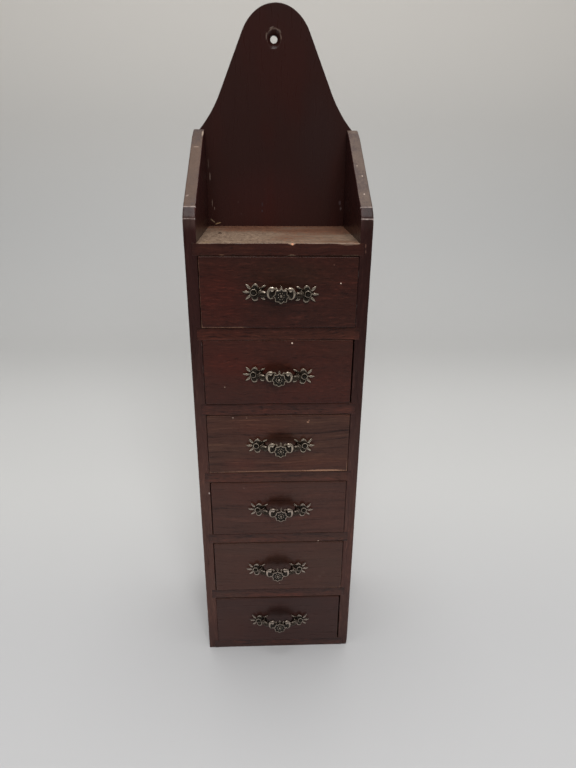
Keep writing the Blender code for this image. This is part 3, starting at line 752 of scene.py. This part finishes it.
# Drawers: a stained front on a bare wooden box
frontLooks = (
    dict(mid=(48, 24, 19), light=(72, 37, 29), redness=0.35, streaks=0.4, fibres=0.5, dashes=1.0, pores=0.5),
    dict(mid=(55, 27, 21), light=(78, 40, 31), redness=0.4, streaks=0.4, fibres=0.4, dashes=0.8, pores=0.4),
    dict(mid=(63, 38, 30), light=(90, 62, 48), redness=0.25, streaks=1.0, fibres=1.0, dashes=0.35, pores=0.35,
         ripple=0.8, shine=0.28),
    dict(mid=(62, 37, 30), light=(84, 52, 43), redness=0.25, streaks=0.8, fibres=0.7, dashes=0.4, pores=0.35,
         ripple=1.5, shine=0.28),
    dict(mid=(62, 39, 32), light=(80, 51, 43), redness=0.2, fibres=0.5, dashes=0.35, pores=0.25, shine=0.28),
    dict(mid=(51, 30, 26), light=(66, 42, 37), redness=0.2, fibres=0.5, dashes=0.3, pores=0.2, shine=0.28),
)
# how far each front fills its opening: left, right, top left and top right
frontReach = (
    (0.15, 0.3, 0.35, 0.05), (0.15, -0.1, 0.35, 0.1), (0.25, 0.25, 0.15, 0.15),
    (0.1, 0.15, 0.1, 0.0), (0.1, 0.15, 0.0, 0.1), (0.3, -0.2, -0.1, -0.25),
)
pullShadeRise = (2.0, 3.0, 3.0, 5.0, 5.0, 5.0)        # where a painted shadow and dark reflection of each pull sit, above its middle
pullShadeTints = ((0.62, 0.85, 0.8), (0.6, 0.8, 0.78)) + ((0.5, 0.55, 0.55),) * 4
# stain that runs redder or greyer, from each front's middle
frontClouds = (
    ((-32.0, -3.0, 19.0, 24.0, 0.9, (1.4, 1.0, 0.95)), (6.0, 9.0, 32.0, 10.0, 0.6, (0.92, 1.15, 0.95)),
     (28.0, -6.0, 16.0, 14.0, 0.5, (1.15, 1.05, 1.0))),
    ((-24.0, 5.0, 26.0, 15.0, 0.8, (1.25, 0.95, 0.9)), (30.0, 14.0, 18.0, 10.0, 0.6, (0.9, 1.1, 1.1)),
     (22.0, -4.0, 14.0, 9.0, 0.6, (1.2, 0.95, 0.9))),
    ((-8.0, 12.0, 22.0, 8.0, 0.6, (1.25, 0.95, 0.85)), (14.0, -12.0, 30.0, 8.0, 0.6, (1.2, 1.0, 0.85)),
     (-22.0, -13.0, 14.0, 6.0, 0.6, (1.25, 0.9, 0.9))),
    ((-14.0, 10.0, 22.0, 12.0, 0.6, (1.15, 0.9, 0.86)), (32.0, 0.0, 14.0, 22.0, 0.6, (1.05, 1.1, 1.15))),
    ((-14.0, -2.0, 30.0, 14.0, 0.5, (1.12, 0.96, 0.94)), (28.0, 8.0, 16.0, 12.0, 0.5, (1.0, 1.05, 1.02))),
    ((8.0, 13.0, 34.0, 10.0, 0.6, (0.86, 0.97, 1.05)), (-31.0, -6.0, 16.0, 17.0, 0.6, (1.25, 1.12, 1.0))),
)
# where each front is rubbed most, from its middle
frontRubs = (
    ((-41.1, 0.0, 2.0, 26.0, 0.45), (-30.0, -18.8, 16.0, 2.0, 0.75), (-20.0, 18.8, 24.0, 2.0, 0.25)),
    ((10.0, 18.8, 36.0, 2.0, 0.3), (-41.1, -12.0, 2.0, 12.0, 0.2)),
    ((0.0, -18.8, 60.0, 2.0, 0.95), (26.0, -18.8, 14.0, 2.0, 1.0), (41.1, -16.0, 2.0, 5.0, 0.8),
     (-39.0, -18.8, 5.0, 2.0, 0.95), (-41.1, 14.0, 2.0, 6.0, 0.3)),
    ((20.0, -18.8, 20.0, 2.0, 0.25),),
    ((41.1, -8.0, 2.0, 16.0, 0.4), (38.0, -18.8, 6.0, 2.0, 0.9), (-40.0, -18.8, 4.0, 2.0, 0.6)),
    ((-34.0, 18.8, 10.0, 2.0, 0.35), (41.1, -12.0, 2.0, 12.0, 0.4)),
)
pale = (214, 190, 174)
frontMarks = (
    (("xz", 32.6, 256.6, 0.4, 0.4, pale), ("xz", 28.7, 266.2, 0.5, 0.25, (104, 74, 62))),
    (("xz", 7.4, 223.6, 0.6, 0.6, pale), ("xz", -30.2, 197.8, 0.35, 0.35, (150, 128, 112))),
    (("xz", -26.2, 178.8, 0.35, 0.3, pale), ("xz", -18.4, 178.6, 0.5, 0.3, (130, 100, 84)),
     ("xz", 17.0, 175.6, 0.9, 0.4, (168, 128, 104)), ("xz", 17.6, 176.6, 0.3, 0.5, (150, 112, 92)),
     ("xz", 2.0, 142.6, 42.0, 0.95, (118, 84, 66)), ("xz", 27.0, 142.7, 16.0, 1.05, (152, 113, 90))),
    (("xz", -21.0, 131.0, 0.8, 0.4, (92, 68, 62)),),
    (("xz", 0.7, 56.6, 0.35, 0.35, (150, 128, 116)), ("xz", 24.5, 58.8, 1.6, 1.4, (68, 45, 38)),
     ("xz", 27.0, 61.8, 1.6, 1.4, (70, 47, 40)), ("xz", 29.5, 64.8, 1.6, 1.4, (68, 45, 38))),
    (),
)
boxLook = dict(dark=(114, 84, 57), mid=(148, 114, 80), light=(176, 144, 106), pores=0.35, dashes=0.6,
               redness=0.15, worn=(196, 164, 124), dust=(150, 134, 116), dusting=0.25, rough=0.62)
boxReach = 0.25         # the box's boards are let run on till they meet
boxBoards = (
    # part, axes of its face and thickness, how far it runs on at its low and high corner, grain
    ("left_side", "yzx", (boxReach, 0.0), (0.0, 0.0), "y"),
    ("right_side", "yzx", (boxReach, 0.0), (0.0, 0.0), "y"),
    ("back", "xzy", (boxReach, 0.0), (boxReach, 0.0), "x"),
    ("bottom", "xyz", (boxReach, boxReach), (boxReach, boxReach), "x"),
)


def makeDrawerBoards():
    boxWoods = {axis: makeWood(f"boxWood{axis.upper()}", along=axis, seed=71.0 + ord(axis), **boxLook)
                for axis in "xy"}
    for index, name in enumerate(drawerNames):
        low, high = boxOf(f"{name}_front")
        middle = (low + high) / 2
        pull = sum(boxOf(f"{name}_pull"), Vector()) / 2
        rubs = [(middle.x + u, middle.z + v, *rest) for u, v, *rest in frontRubs[index]]
        arris = {"seed": 60.0 + 7 * index, "radius": 0.35, "rub": 0.14, "rubs": rubs}
        left, right, topLeft, topRight = frontReach[index]
        corners = ((low.x - left, low.z), (high.x + right, low.z),
                   (high.x + right, high.z + topRight), (low.x - left, high.z + topLeft))
        outline = [(Vector(corner), True) for corner in corners]
        piece = makeBoard(f"{name}_front_wood", outline, low.y, high.y, "xzy", arris)
        clouds = [(middle.x + u, middle.z + v, *rest) for u, v, *rest in frontClouds[index]]
        # a painted shadow and dark reflection of the pull on the front behind it
        clouds.append((pull.x, pull.z + pullShadeRise[index], 13.0, 7.0, 0.8, pullShadeTints[index]))
        wood = makeWood(f"{name}FrontStain", seed=83.0 + 13.3 * index, marks=frontMarks[index],
                        clouds=clouds, **frontLooks[index])
        settle(piece, f"{name}_front", wood)

        plain = {"spacing": 3.0, "radius": 0.3, "seed": 90.0 + index}
        for part, axes, under, over, along in boxBoards:
            low, high = boxOf(f"{name}_{part}")
            u, v, thick = ["xyz".index(axis) for axis in axes]
            outline = rectangle((low[u] - under[0], low[v] - under[1]),
                                (high[u] + over[0], high[v] + over[1]))
            piece = makeBoard(f"{name}_{part}_wood", outline, low[thick], high[thick], axes, plain)
            settle(piece, f"{name}_{part}", boxWoods[along])


makeSides()
makeCrossBoards()
makeBack()
makeDrawerBoards()
print("boards cut, eased and stained")


# Pull: cast in one, built from closed forms in its own frame (x along, y up, z out), then fused
class Casting:
    def __init__(self):
        self.verts = []
        self.faces = []

    def rings(self, loops, closed=False):
        start = len(self.verts)
        sides = len(loops[0])
        for loop in loops:
            self.verts.extend(loop)
        count = len(loops) if closed else len(loops) - 1
        for row in range(count):
            for side in range(sides):
                after = (side + 1) % sides
                a = start + row * sides
                b = start + (row + 1) % len(loops) * sides
                self.faces.append((a + side, a + after, b + after, b + side))
        if not closed:
            self.faces.append(tuple(range(start, start + sides)))
            self.faces.append(tuple(range(start + (len(loops) - 1) * sides, start + len(loops) * sides)))

    def tube(self, path, radii, flat=1.0, sides=14, closed=False):
        loops = []
        for index, place in enumerate(path):
            before = path[index - 1] if closed or index else path[0]
            after = path[(index + 1) % len(path)] if closed or index + 1 < len(path) else path[-1]
            ahead = (after - before).normalized()
            helper = Vector((0, 0, 1)) if abs(ahead.z) < 0.9 else Vector((0, 1, 0))
            aside = ahead.cross(helper).normalized()
            above = aside.cross(ahead)
            loop = []
            for side in range(sides):
                turn = 2 * math.pi * side / sides
                loop.append(place + radii[index] * (aside * math.cos(turn) + above * flat * math.sin(turn)))
            loops.append(loop)
        self.rings(loops, closed)

    def ball(self, centre, size, steps=12):
        loops = []
        for step in range(1, steps):
            lean = math.pi * step / steps
            loop = []
            for side in range(2 * steps):
                turn = math.pi * side / steps
                flat = Vector((math.cos(turn), math.sin(turn), 0)) * math.sin(lean)
                loop.append(Vector(centre) + (flat + Vector((0, 0, math.cos(lean)))) * Vector(size))
            loops.append(loop)
        self.rings(loops)

    def leaf(self, start, tip, halfWidth, lift, flat=0.7, steps=14):
        path = []
        radii = []
        for step in range(steps + 1):
            share = step / steps
            path.append(start.lerp(tip, share) + Vector((0, 0, lift * math.sin(math.pi * share))))
            radii.append(max(0.06, halfWidth * math.sin(math.pi * share ** 0.85) ** 0.75))
        self.tube(path, radii, flat)


pullMake = {
    "nailPitch": 28.5, "core": (2.6, 2.6, 0.75), "coreLevel": 0.8, "seat": 2.0, "seatLevels": (0.4, 1.2),
    "ringRadius": 1.5, "ringTube": 0.4, "ringLevel": 1.9, "ringSteps": 24,
    "lances": ((0.0, 6.0, 0.74), (45.0, 6.0, 0.76), (-45.0, 6.0, 0.76)),    # angle, reach, half width
    "lanceFoot": 1.6, "lanceLevels": (1.0, 0.75), "lanceLift": 0.5,
    "archFoot": 1.7, "archReach": 4.6, "archHalf": 1.45, "archTube": 0.45, "archAngle": 106.0,
    "archLevel": 1.25, "archLift": 0.35, "archSwell": (0.55, 0.95), "archSteps": 16,
    "archPad": (1.25, 1.5, 0.65), "archPadAt": (2.8, 1.0),
    "spurs": (149.0, -149.0), "spurReach": (4.4, 7.6), "spurHalf": 0.75, "spurLevels": (0.9, 0.8),
    "spurLift": 0.55, "stalkReach": (1.8, 5.0), "stalkTube": (0.7, 0.5), "stalkLevel": 0.8,
    "bowHalf": 10.3, "bowFoot": 1.0, "bowRise": 5.6, "bowFullness": 0.5, "bowTube": 1.15, "bowSwell": 0.7,
    "bowSteps": 40, "ribs": (-0.75, 0.0, 0.75), "ribRise": 0.85, "ribTube": 0.32,
    "bowEnd": (1.5, 2.1, 1.5), "bowEndAt": (10.0, 1.7),
    "collarAt": 5.5, "collarSet": 0.35, "collarWide": 1.35, "collarTall": 2.35, "collarLift": 0.8,
    "collarLevel": 6.1, "collarTurn": (62, 298), "collarTube": 0.85, "collarHead": 0.42, "collarBack": 0.12,
    "collarKnobs": ((0, 1.2), (-1, 1.0)), "collarPad": (1.6, 2.5, 1.3), "collarPadLift": 0.4,
    "collarSteps": 24,
    "pointTip": 3.95, "pointValley": 3.35, "points": 8, "rimTube": 0.36, "rimSteps": 96,
    "flowerFace": 8.9, "flowerBack": 4.8, "bead": (0.36, 0.36, 0.4), "beadAt": (1.6, 0.45),
    "boss": (0.72, 0.72, 0.6), "bossDrop": 0.35,
    "crown": ((-2.7, 3.9), (0.0, 4.8), (2.7, 3.9)), "crownFoot": (0.6, 1.4), "crownLevel": 6.4,
    "petal": ((0.0, 1.0), (0.4, 0.9), (0.75, 0.6), (1.0, 0.2)),             # share of its length, radius
    "voxel": 0.13, "keep": 0.28,
    # where the cast is made brighter or darker: brighter on the tops of the collars, flower and crown, partly
    # polish and partly a painted highlight; darker at the bow's stems and, a little, round the nails, partly
    # patina and partly painted shade: |x|, y, z, reach, amount
    "polishAndPaintedLight": ((5.2, 3.1, 6.6, 1.3, 0.3), (0.0, 3.6, 8.7, 1.8, 0.2), (0.0, 4.2, 6.4, 1.6, 0.25),
                (2.7, 3.6, 6.4, 1.0, 0.25), (8.7, 0.0, 3.4, 2.9, -0.55), (14.25, 0.0, 1.9, 1.4, -0.1)),
}


def addRosette(casting, hand):
    make = pullMake
    nail = Vector((hand * make["nailPitch"] / 2, 0, 0))

    def around(angle, reach, level):        # angle from outward, turning up
        turn = math.radians(angle)
        return nail + Vector((hand * reach * math.cos(turn), reach * math.sin(turn), level))

    steps = make["ringSteps"]
    casting.ball(nail + Vector((0, 0, make["coreLevel"])), make["core"])
    casting.tube([around(step * 360 / steps, make["ringRadius"], make["ringLevel"]) for step in range(steps)],
                 [make["ringTube"]] * steps, closed=True)
    seat = [nail + Vector((0, 0, level)) for level in make["seatLevels"]]
    casting.tube(seat, [make["seat"]] * 2, sides=steps)
    foot, tip = make["lanceLevels"]
    for angle, reach, half in make["lances"]:
        ends = (around(angle, make["lanceFoot"], foot), around(angle, reach, tip))
        casting.leaf(*ends, half, make["lanceLift"])
    for sign in (1, -1):
        centre = sign * make["archAngle"]
        arch = []
        thick = []
        for step in range(make["archSteps"] + 1):
            turn = math.pi * step / make["archSteps"]
            span = make["archReach"] - make["archTube"] - make["archFoot"]
            out = make["archFoot"] + span * math.sin(turn) ** 0.7
            base = around(centre, out, make["archLevel"] + make["archLift"] * math.sin(turn))
            sideways = around(centre + sign * 90, make["archHalf"] * math.cos(turn), 0) - nail
            arch.append(base + sideways)
            thick.append(make["archTube"] * (make["archSwell"][0] + make["archSwell"][1] * math.sin(turn)))
        casting.tube(arch, thick, 0.9)
        casting.ball(around(centre, *make["archPadAt"]), make["archPad"])
    for angle in make["spurs"]:
        ends = [around(angle, *end) for end in zip(make["spurReach"], make["spurLevels"])]
        casting.leaf(*ends, make["spurHalf"], make["spurLift"])
        stalk = [around(angle, reach, make["stalkLevel"]) for reach in make["stalkReach"]]
        casting.tube(stalk, make["stalkTube"], 0.8)


def addBow(casting):
    make = pullMake
    path = []
    radii = []
    for step in range(make["bowSteps"] + 1):
        turn = math.pi * (0.02 + 0.96 * step / make["bowSteps"])
        rise = (make["bowRise"] - make["bowFoot"]) * math.sin(turn) ** make["bowFullness"]
        path.append(Vector((-make["bowHalf"] * math.cos(turn), 0.0, make["bowFoot"] + rise)))
        radii.append(make["bowTube"] * (1 + make["bowSwell"] * abs(math.cos(turn)) ** 2))
    casting.tube(path, radii)
    for offset in make["ribs"]:             # ribs along the bow, wider apart at its ends
        rib = []
        for place in path[2:-2]:
            aside = offset * (0.8 + 0.6 * abs(place.x) / make["bowHalf"])
            rib.append(place + Vector((0, aside, make["ribRise"])))
        casting.tube(rib, [make["ribTube"]] * len(rib))
    endX, endLevel = make["bowEndAt"]
    for hand in (-1, 1):
        casting.ball((hand * endX, 0, endLevel), make["bowEnd"])


def addCollar(casting, hand):       # a scroll open towards the flower, its upper end the heavier
    make = pullMake
    start, end = make["collarTurn"]
    path = []
    radii = []
    for step in range(make["collarSteps"] + 1):
        share = step / make["collarSteps"]
        turn = math.radians(start + (end - start) * share)
        across = make["collarAt"] - make["collarWide"] * math.cos(turn) - make["collarSet"]
        up = make["collarLift"] + make["collarTall"] * math.sin(turn)
        path.append(Vector((hand * across, up, make["collarLevel"])))
        head = make["collarHead"] * (1 - share) ** 1.6
        radii.append(make["collarTube"] + head + make["collarBack"] * math.cos(turn) ** 2)
    casting.tube(path, radii, 1.1)
    for index, swell in make["collarKnobs"]:
        casting.ball(path[index], (radii[index] * swell,) * 3)
    casting.ball((hand * make["collarAt"], make["collarPadLift"], make["bowRise"]), make["collarPad"])


def addFlower(casting):             # a starry trumpet, long petals behind it, a beaded dish and a boss
    make = pullMake
    face = make["flowerFace"]
    back = make["flowerBack"]
    steps = make["rimSteps"]

    def around(angle, radius, level):
        return Vector((radius * math.cos(angle), radius * math.sin(angle), level))

    def starry(scale, level):       # hollow between its points
        ring = []
        for step in range(steps):
            turn = math.pi / 2 + 2 * math.pi * step / steps
            point = 1 - abs(math.sin(make["points"] / 2 * (turn - math.pi / 2)))
            reach = make["pointValley"] + (make["pointTip"] - make["pointValley"]) * point
            ring.append(around(turn, scale * reach, level))
        return ring

    stages = ((0.66, back), (0.74, back + 1.2), (0.86, face - 1.4), (0.94, face - 0.6))
    casting.rings([starry(scale, level) for scale, level in stages])
    casting.tube(starry(0.95, face - make["rimTube"]), [make["rimTube"]] * steps, closed=True, sides=10)
    beadRadius, beadDrop = make["beadAt"]
    for point in range(make["points"]):
        angle = math.pi / 2 + 2 * math.pi * (point + 0.5) / make["points"]
        casting.ball(around(angle, beadRadius, face - beadDrop), make["bead"], 8)
    footShare, footY = make["crownFoot"]
    for tipX, tipY in make["crown"]:
        foot = Vector((tipX * footShare, footY, make["crownLevel"]))
        tip = Vector((tipX, tipY, make["crownLevel"]))
        shares, radii = zip(*make["petal"])
        casting.tube([foot.lerp(tip, share) for share in shares], radii, sides=12)
    casting.ball(around(0, 0, face - make["bossDrop"]), make["boss"], 10)


def reliefOf(mesh, rounds=26, spread=0.16):     # how far each point stands proud of its surroundings
    count = len(mesh.vertices)
    places = np.zeros(count * 3)
    normals = np.zeros(count * 3)
    mesh.vertices.foreach_get("co", places)
    mesh.vertices.foreach_get("normal", normals)
    ends = np.zeros(len(mesh.edges) * 2, int)
    mesh.edges.foreach_get("vertices", ends)
    places = places.reshape(-1, 3)
    normals = normals.reshape(-1, 3)
    first, second = ends.reshape(-1, 2).T
    ties = np.bincount(np.concatenate((first, second)), minlength=count)[:, None]
    smooth = places.copy()
    for _ in range(rounds):
        total = np.zeros_like(smooth)
        np.add.at(total, first, smooth[second])
        np.add.at(total, second, smooth[first])
        smooth = 0.4 * smooth + 0.6 * total / ties
    proud = ((places - smooth) * normals).sum(1)
    return np.clip(0.5 + proud / (2 * spread), 0, 1)


def dropScraps(mesh):               # thinning leaves a few loose flaps inside, two faces back to back
    shape = bmesh.new()
    shape.from_mesh(mesh)
    loose = [vert for vert in shape.verts if len({frozenset(face.verts) for face in vert.link_faces}) == 1]
    bmesh.ops.delete(shape, geom=loose, context="VERTS")
    shape.to_mesh(mesh)
    shape.free()


def makePullMesh():
    casting = Casting()
    for hand in (-1, 1):
        addRosette(casting, hand)
        addCollar(casting, hand)
    addBow(casting)
    addFlower(casting)
    mesh = bpy.data.meshes.new("pullForms")
    mesh.from_pydata([tuple(vert) for vert in casting.verts], [], casting.faces)
    forms = addPiece("pullForms", mesh)
    fuse = forms.modifiers.new("fuse", "REMESH")
    fuse.mode = "VOXEL"
    fuse.voxel_size = pullMake["voxel"]
    soften = forms.modifiers.new("soften", "SMOOTH")
    soften.factor = 0.5
    soften.iterations = 2
    thin = forms.modifiers.new("thin", "DECIMATE")
    thin.ratio = pullMake["keep"]
    bake(forms)
    cast = forms.data
    bpy.data.objects.remove(forms)
    cast.name = "pullCast"
    dropScraps(cast)
    places = np.array([vert.co for vert in cast.vertices])
    places[:, 0] = abs(places[:, 0])
    proud = reliefOf(cast)
    for *place, reach, amount in pullMake["polishAndPaintedLight"]:
        away = np.linalg.norm(places - place, axis=1) / reach
        proud += amount * np.clip(2 - 1.6 * away, 0, 1)
    relief = cast.attributes.new("relief", "FLOAT", "POINT")
    relief.data.foreach_set("value", proud.astype(np.float32))
    cast.transform(Matrix.Diagonal((mm, mm, mm, 1.0)))
    return cast


nailMake = {"headRadius": 1.0, "headHeight": 0.5, "shank": 0.5, "length": 6.4, "sides": 20}


def makeNailMesh():                 # turned about its axis, underside of the head at the origin
    casting = Casting()
    profile = [(0.06, nailMake["headHeight"])]
    for step in range(1, 7):
        turn = math.pi / 2 * step / 6
        profile.append((nailMake["headRadius"] * math.sin(turn), nailMake["headHeight"] * math.cos(turn)))
    profile += [(nailMake["shank"], -0.05), (nailMake["shank"], 0.8 - nailMake["length"]),
                (0.06, -nailMake["length"])]
    loops = []
    for radius, level in profile:
        turns = [2 * math.pi * side / nailMake["sides"] for side in range(nailMake["sides"])]
        loops.append([Vector((radius * math.cos(turn), radius * math.sin(turn), level)) for turn in turns])
    casting.rings(loops)
    mesh = bpy.data.meshes.new("pinTurned")
    mesh.from_pydata([tuple(vert * mm) for vert in casting.verts], [], casting.faces)
    shape = bmesh.new()
    shape.from_mesh(mesh)
    bmesh.ops.recalc_face_normals(shape, faces=shape.faces)
    shape.to_mesh(mesh)
    shape.free()
    relief = mesh.attributes.new("relief", "FLOAT", "POINT")
    relief.data.foreach_set("value", [0.45] * len(mesh.vertices))
    return mesh


pullBrightsLitToShaded = ((200, 185, 167), (186, 170, 157), (166, 152, 140))      # the lower pulls are painted duller, painted shade for the dimmer light they catch


def makePulls():
    cast = makePullMesh()
    pin = makeNailMesh()
    casts = [cast, cast.copy(), cast.copy()]
    brasses = [makeBrass(f"agedBrass{index + 1}", bright=bright) for index, bright in enumerate(pullBrightsLitToShaded)]
    pinBrass = makeBrass("pinBrass", body=(52, 46, 38), bright=(120, 110, 90), rough=0.42)
    for name, tone in zip(drawerNames, (0, 0, 0, 1, 1, 2)):
        face = boxOf(f"{name}_front")[0].y
        left, right = [sum(boxOf(f"{name}_{hand}_nail"), Vector()) / 2 for hand in ("left", "right")]
        along = (right - left).normalized()
        outward = Vector((0, -1, 0))
        axes = Matrix((along, outward.cross(along), outward)).transposed().to_4x4()
        middle = (left + right) / 2
        pull = addPiece(f"{name}_pull_cast", casts[tone])
        pull.matrix_world = Matrix.Translation(Vector((middle.x, face, middle.z)) * mm) @ axes
        settle(pull, f"{name}_pull", brasses[tone], 60)
        for hand, place in (("left", left), ("right", right)):
            head = addPiece(f"{name}_{hand}_nail_turned", pin)
            head.matrix_world = Matrix.Translation(Vector((place.x, face - 2.0, place.z)) * mm) @ axes
            settle(head, f"{name}_{hand}_nail", pinBrass)
    print("pull casting has", len(cast.polygons), "faces")


makePulls()


# Pale sweep of paper and soft lamps
sweepMake = {
    "front": -1600.0, "bend": 620.0, "radius": 380.0, "wallTop": 1900.0, "halfWidth": 2200.0, "steps": 24,
    # The paper's tone is graded: darker far in front, and paler behind the chest, at the bend and up the
    # wall, painted light on the backdrop
    "colour": (195, 195, 196), "clouded": (184, 184, 185), "nearColour": (112, 112, 112),
    "rearColour": (208, 208, 207), "bendColour": (199, 199, 198), "wallColour": (223, 219, 213),
    "paleFrom": (-640.0, -260.0), "rearFrom": (-60.0, 190.0), "bendFrom": (330.0, 600.0),
    "wallFrom": (110.0, 640.0),
}
lampSet = (
    # name, place, aimed at, size, power, seen in gloss
    ("keySoftbox", (100.0, -1350.0, 1120.0), (0.0, 0.0, 190.0), 900.0, 20.0, False),
    ("topSoftbox", (0.0, 60.0, 1700.0), (0.0, 0.0, 200.0), 800.0, 7.5, True),
)
skySet = {"colour": (1.0, 0.99, 0.97, 1.0), "front": 0.13, "back": 0.34, "top": 0.25}


def makeSweep():
    profile = [(sweepMake["front"], 0.0)]
    for step in range(sweepMake["steps"] + 1):
        turn = math.pi / 2 * step / sweepMake["steps"]
        profile.append((sweepMake["bend"] + sweepMake["radius"] * math.sin(turn),
                        sweepMake["radius"] * (1 - math.cos(turn))))
    profile.append((sweepMake["bend"] + sweepMake["radius"], sweepMake["wallTop"]))
    verts = []
    for y, z in profile:
        verts += [(side * sweepMake["halfWidth"] * mm, y * mm, z * mm) for side in (-1, 1)]
    faces = [(2 * row, 2 * row + 1, 2 * row + 3, 2 * row + 2) for row in range(len(profile) - 1)]
    mesh = bpy.data.meshes.new("paperSweep")
    mesh.from_pydata(verts, [], faces)
    mesh.shade_smooth()
    sweep = addPiece("paperSweep", mesh)
    finish = Finish(bpy.data.materials.new("paper"))
    x, y, z = finish.millimetres()
    tooth = finish.grit(finish.point(x * 0.004, y * 0.004, z * 0.004), 3.0)
    colour = finish.mix(tooth * 0.2, rgb(*sweepMake["colour"]), rgb(*sweepMake["clouded"]))
    colour = finish.mix(finish.fade(y, *sweepMake["paleFrom"]), rgb(*sweepMake["nearColour"]), colour)
    colour = finish.mix(finish.fade(y, *sweepMake["rearFrom"]), colour, rgb(*sweepMake["rearColour"]))
    colour = finish.mix(finish.fade(y, *sweepMake["bendFrom"]), colour, rgb(*sweepMake["bendColour"]))
    colour = finish.mix(finish.fade(z, *sweepMake["wallFrom"]), colour, rgb(*sweepMake["wallColour"]))
    mesh.materials.append(finish.apply(Base_Color=colour, Roughness=0.7))


def makeLight():
    for name, place, target, size, power, gloss in lampSet:
        data = bpy.data.lights.new(name, "AREA")
        data.size = size * mm
        data.energy = power
        lamp = addPiece(name, data)
        lamp.location = Vector(place) * mm
        lamp.rotation_euler = (Vector(target) - Vector(place)).to_track_quat("-Z", "Y").to_euler()
        lamp.visible_camera = False
        lamp.visible_glossy = gloss
    world = bpy.data.worlds.new("softSky")
    sky = Finish(world, "Background")
    x, y, z = sky.split(sky.node("TexCoord", None, None, "Generated"))
    level = sky.fade(y, -0.6, 0.2) * skySet["back"] + sky.fade(z, 0.35, 0.85) * skySet["top"]
    level = level + skySet["front"]
    bpy.context.scene.world = sky.apply(Color=skySet["colour"], Strength=level)
    bpy.context.scene.view_settings.view_transform = "Standard"


makeSweep()
makeLight()
print("sweep and lamps placed")
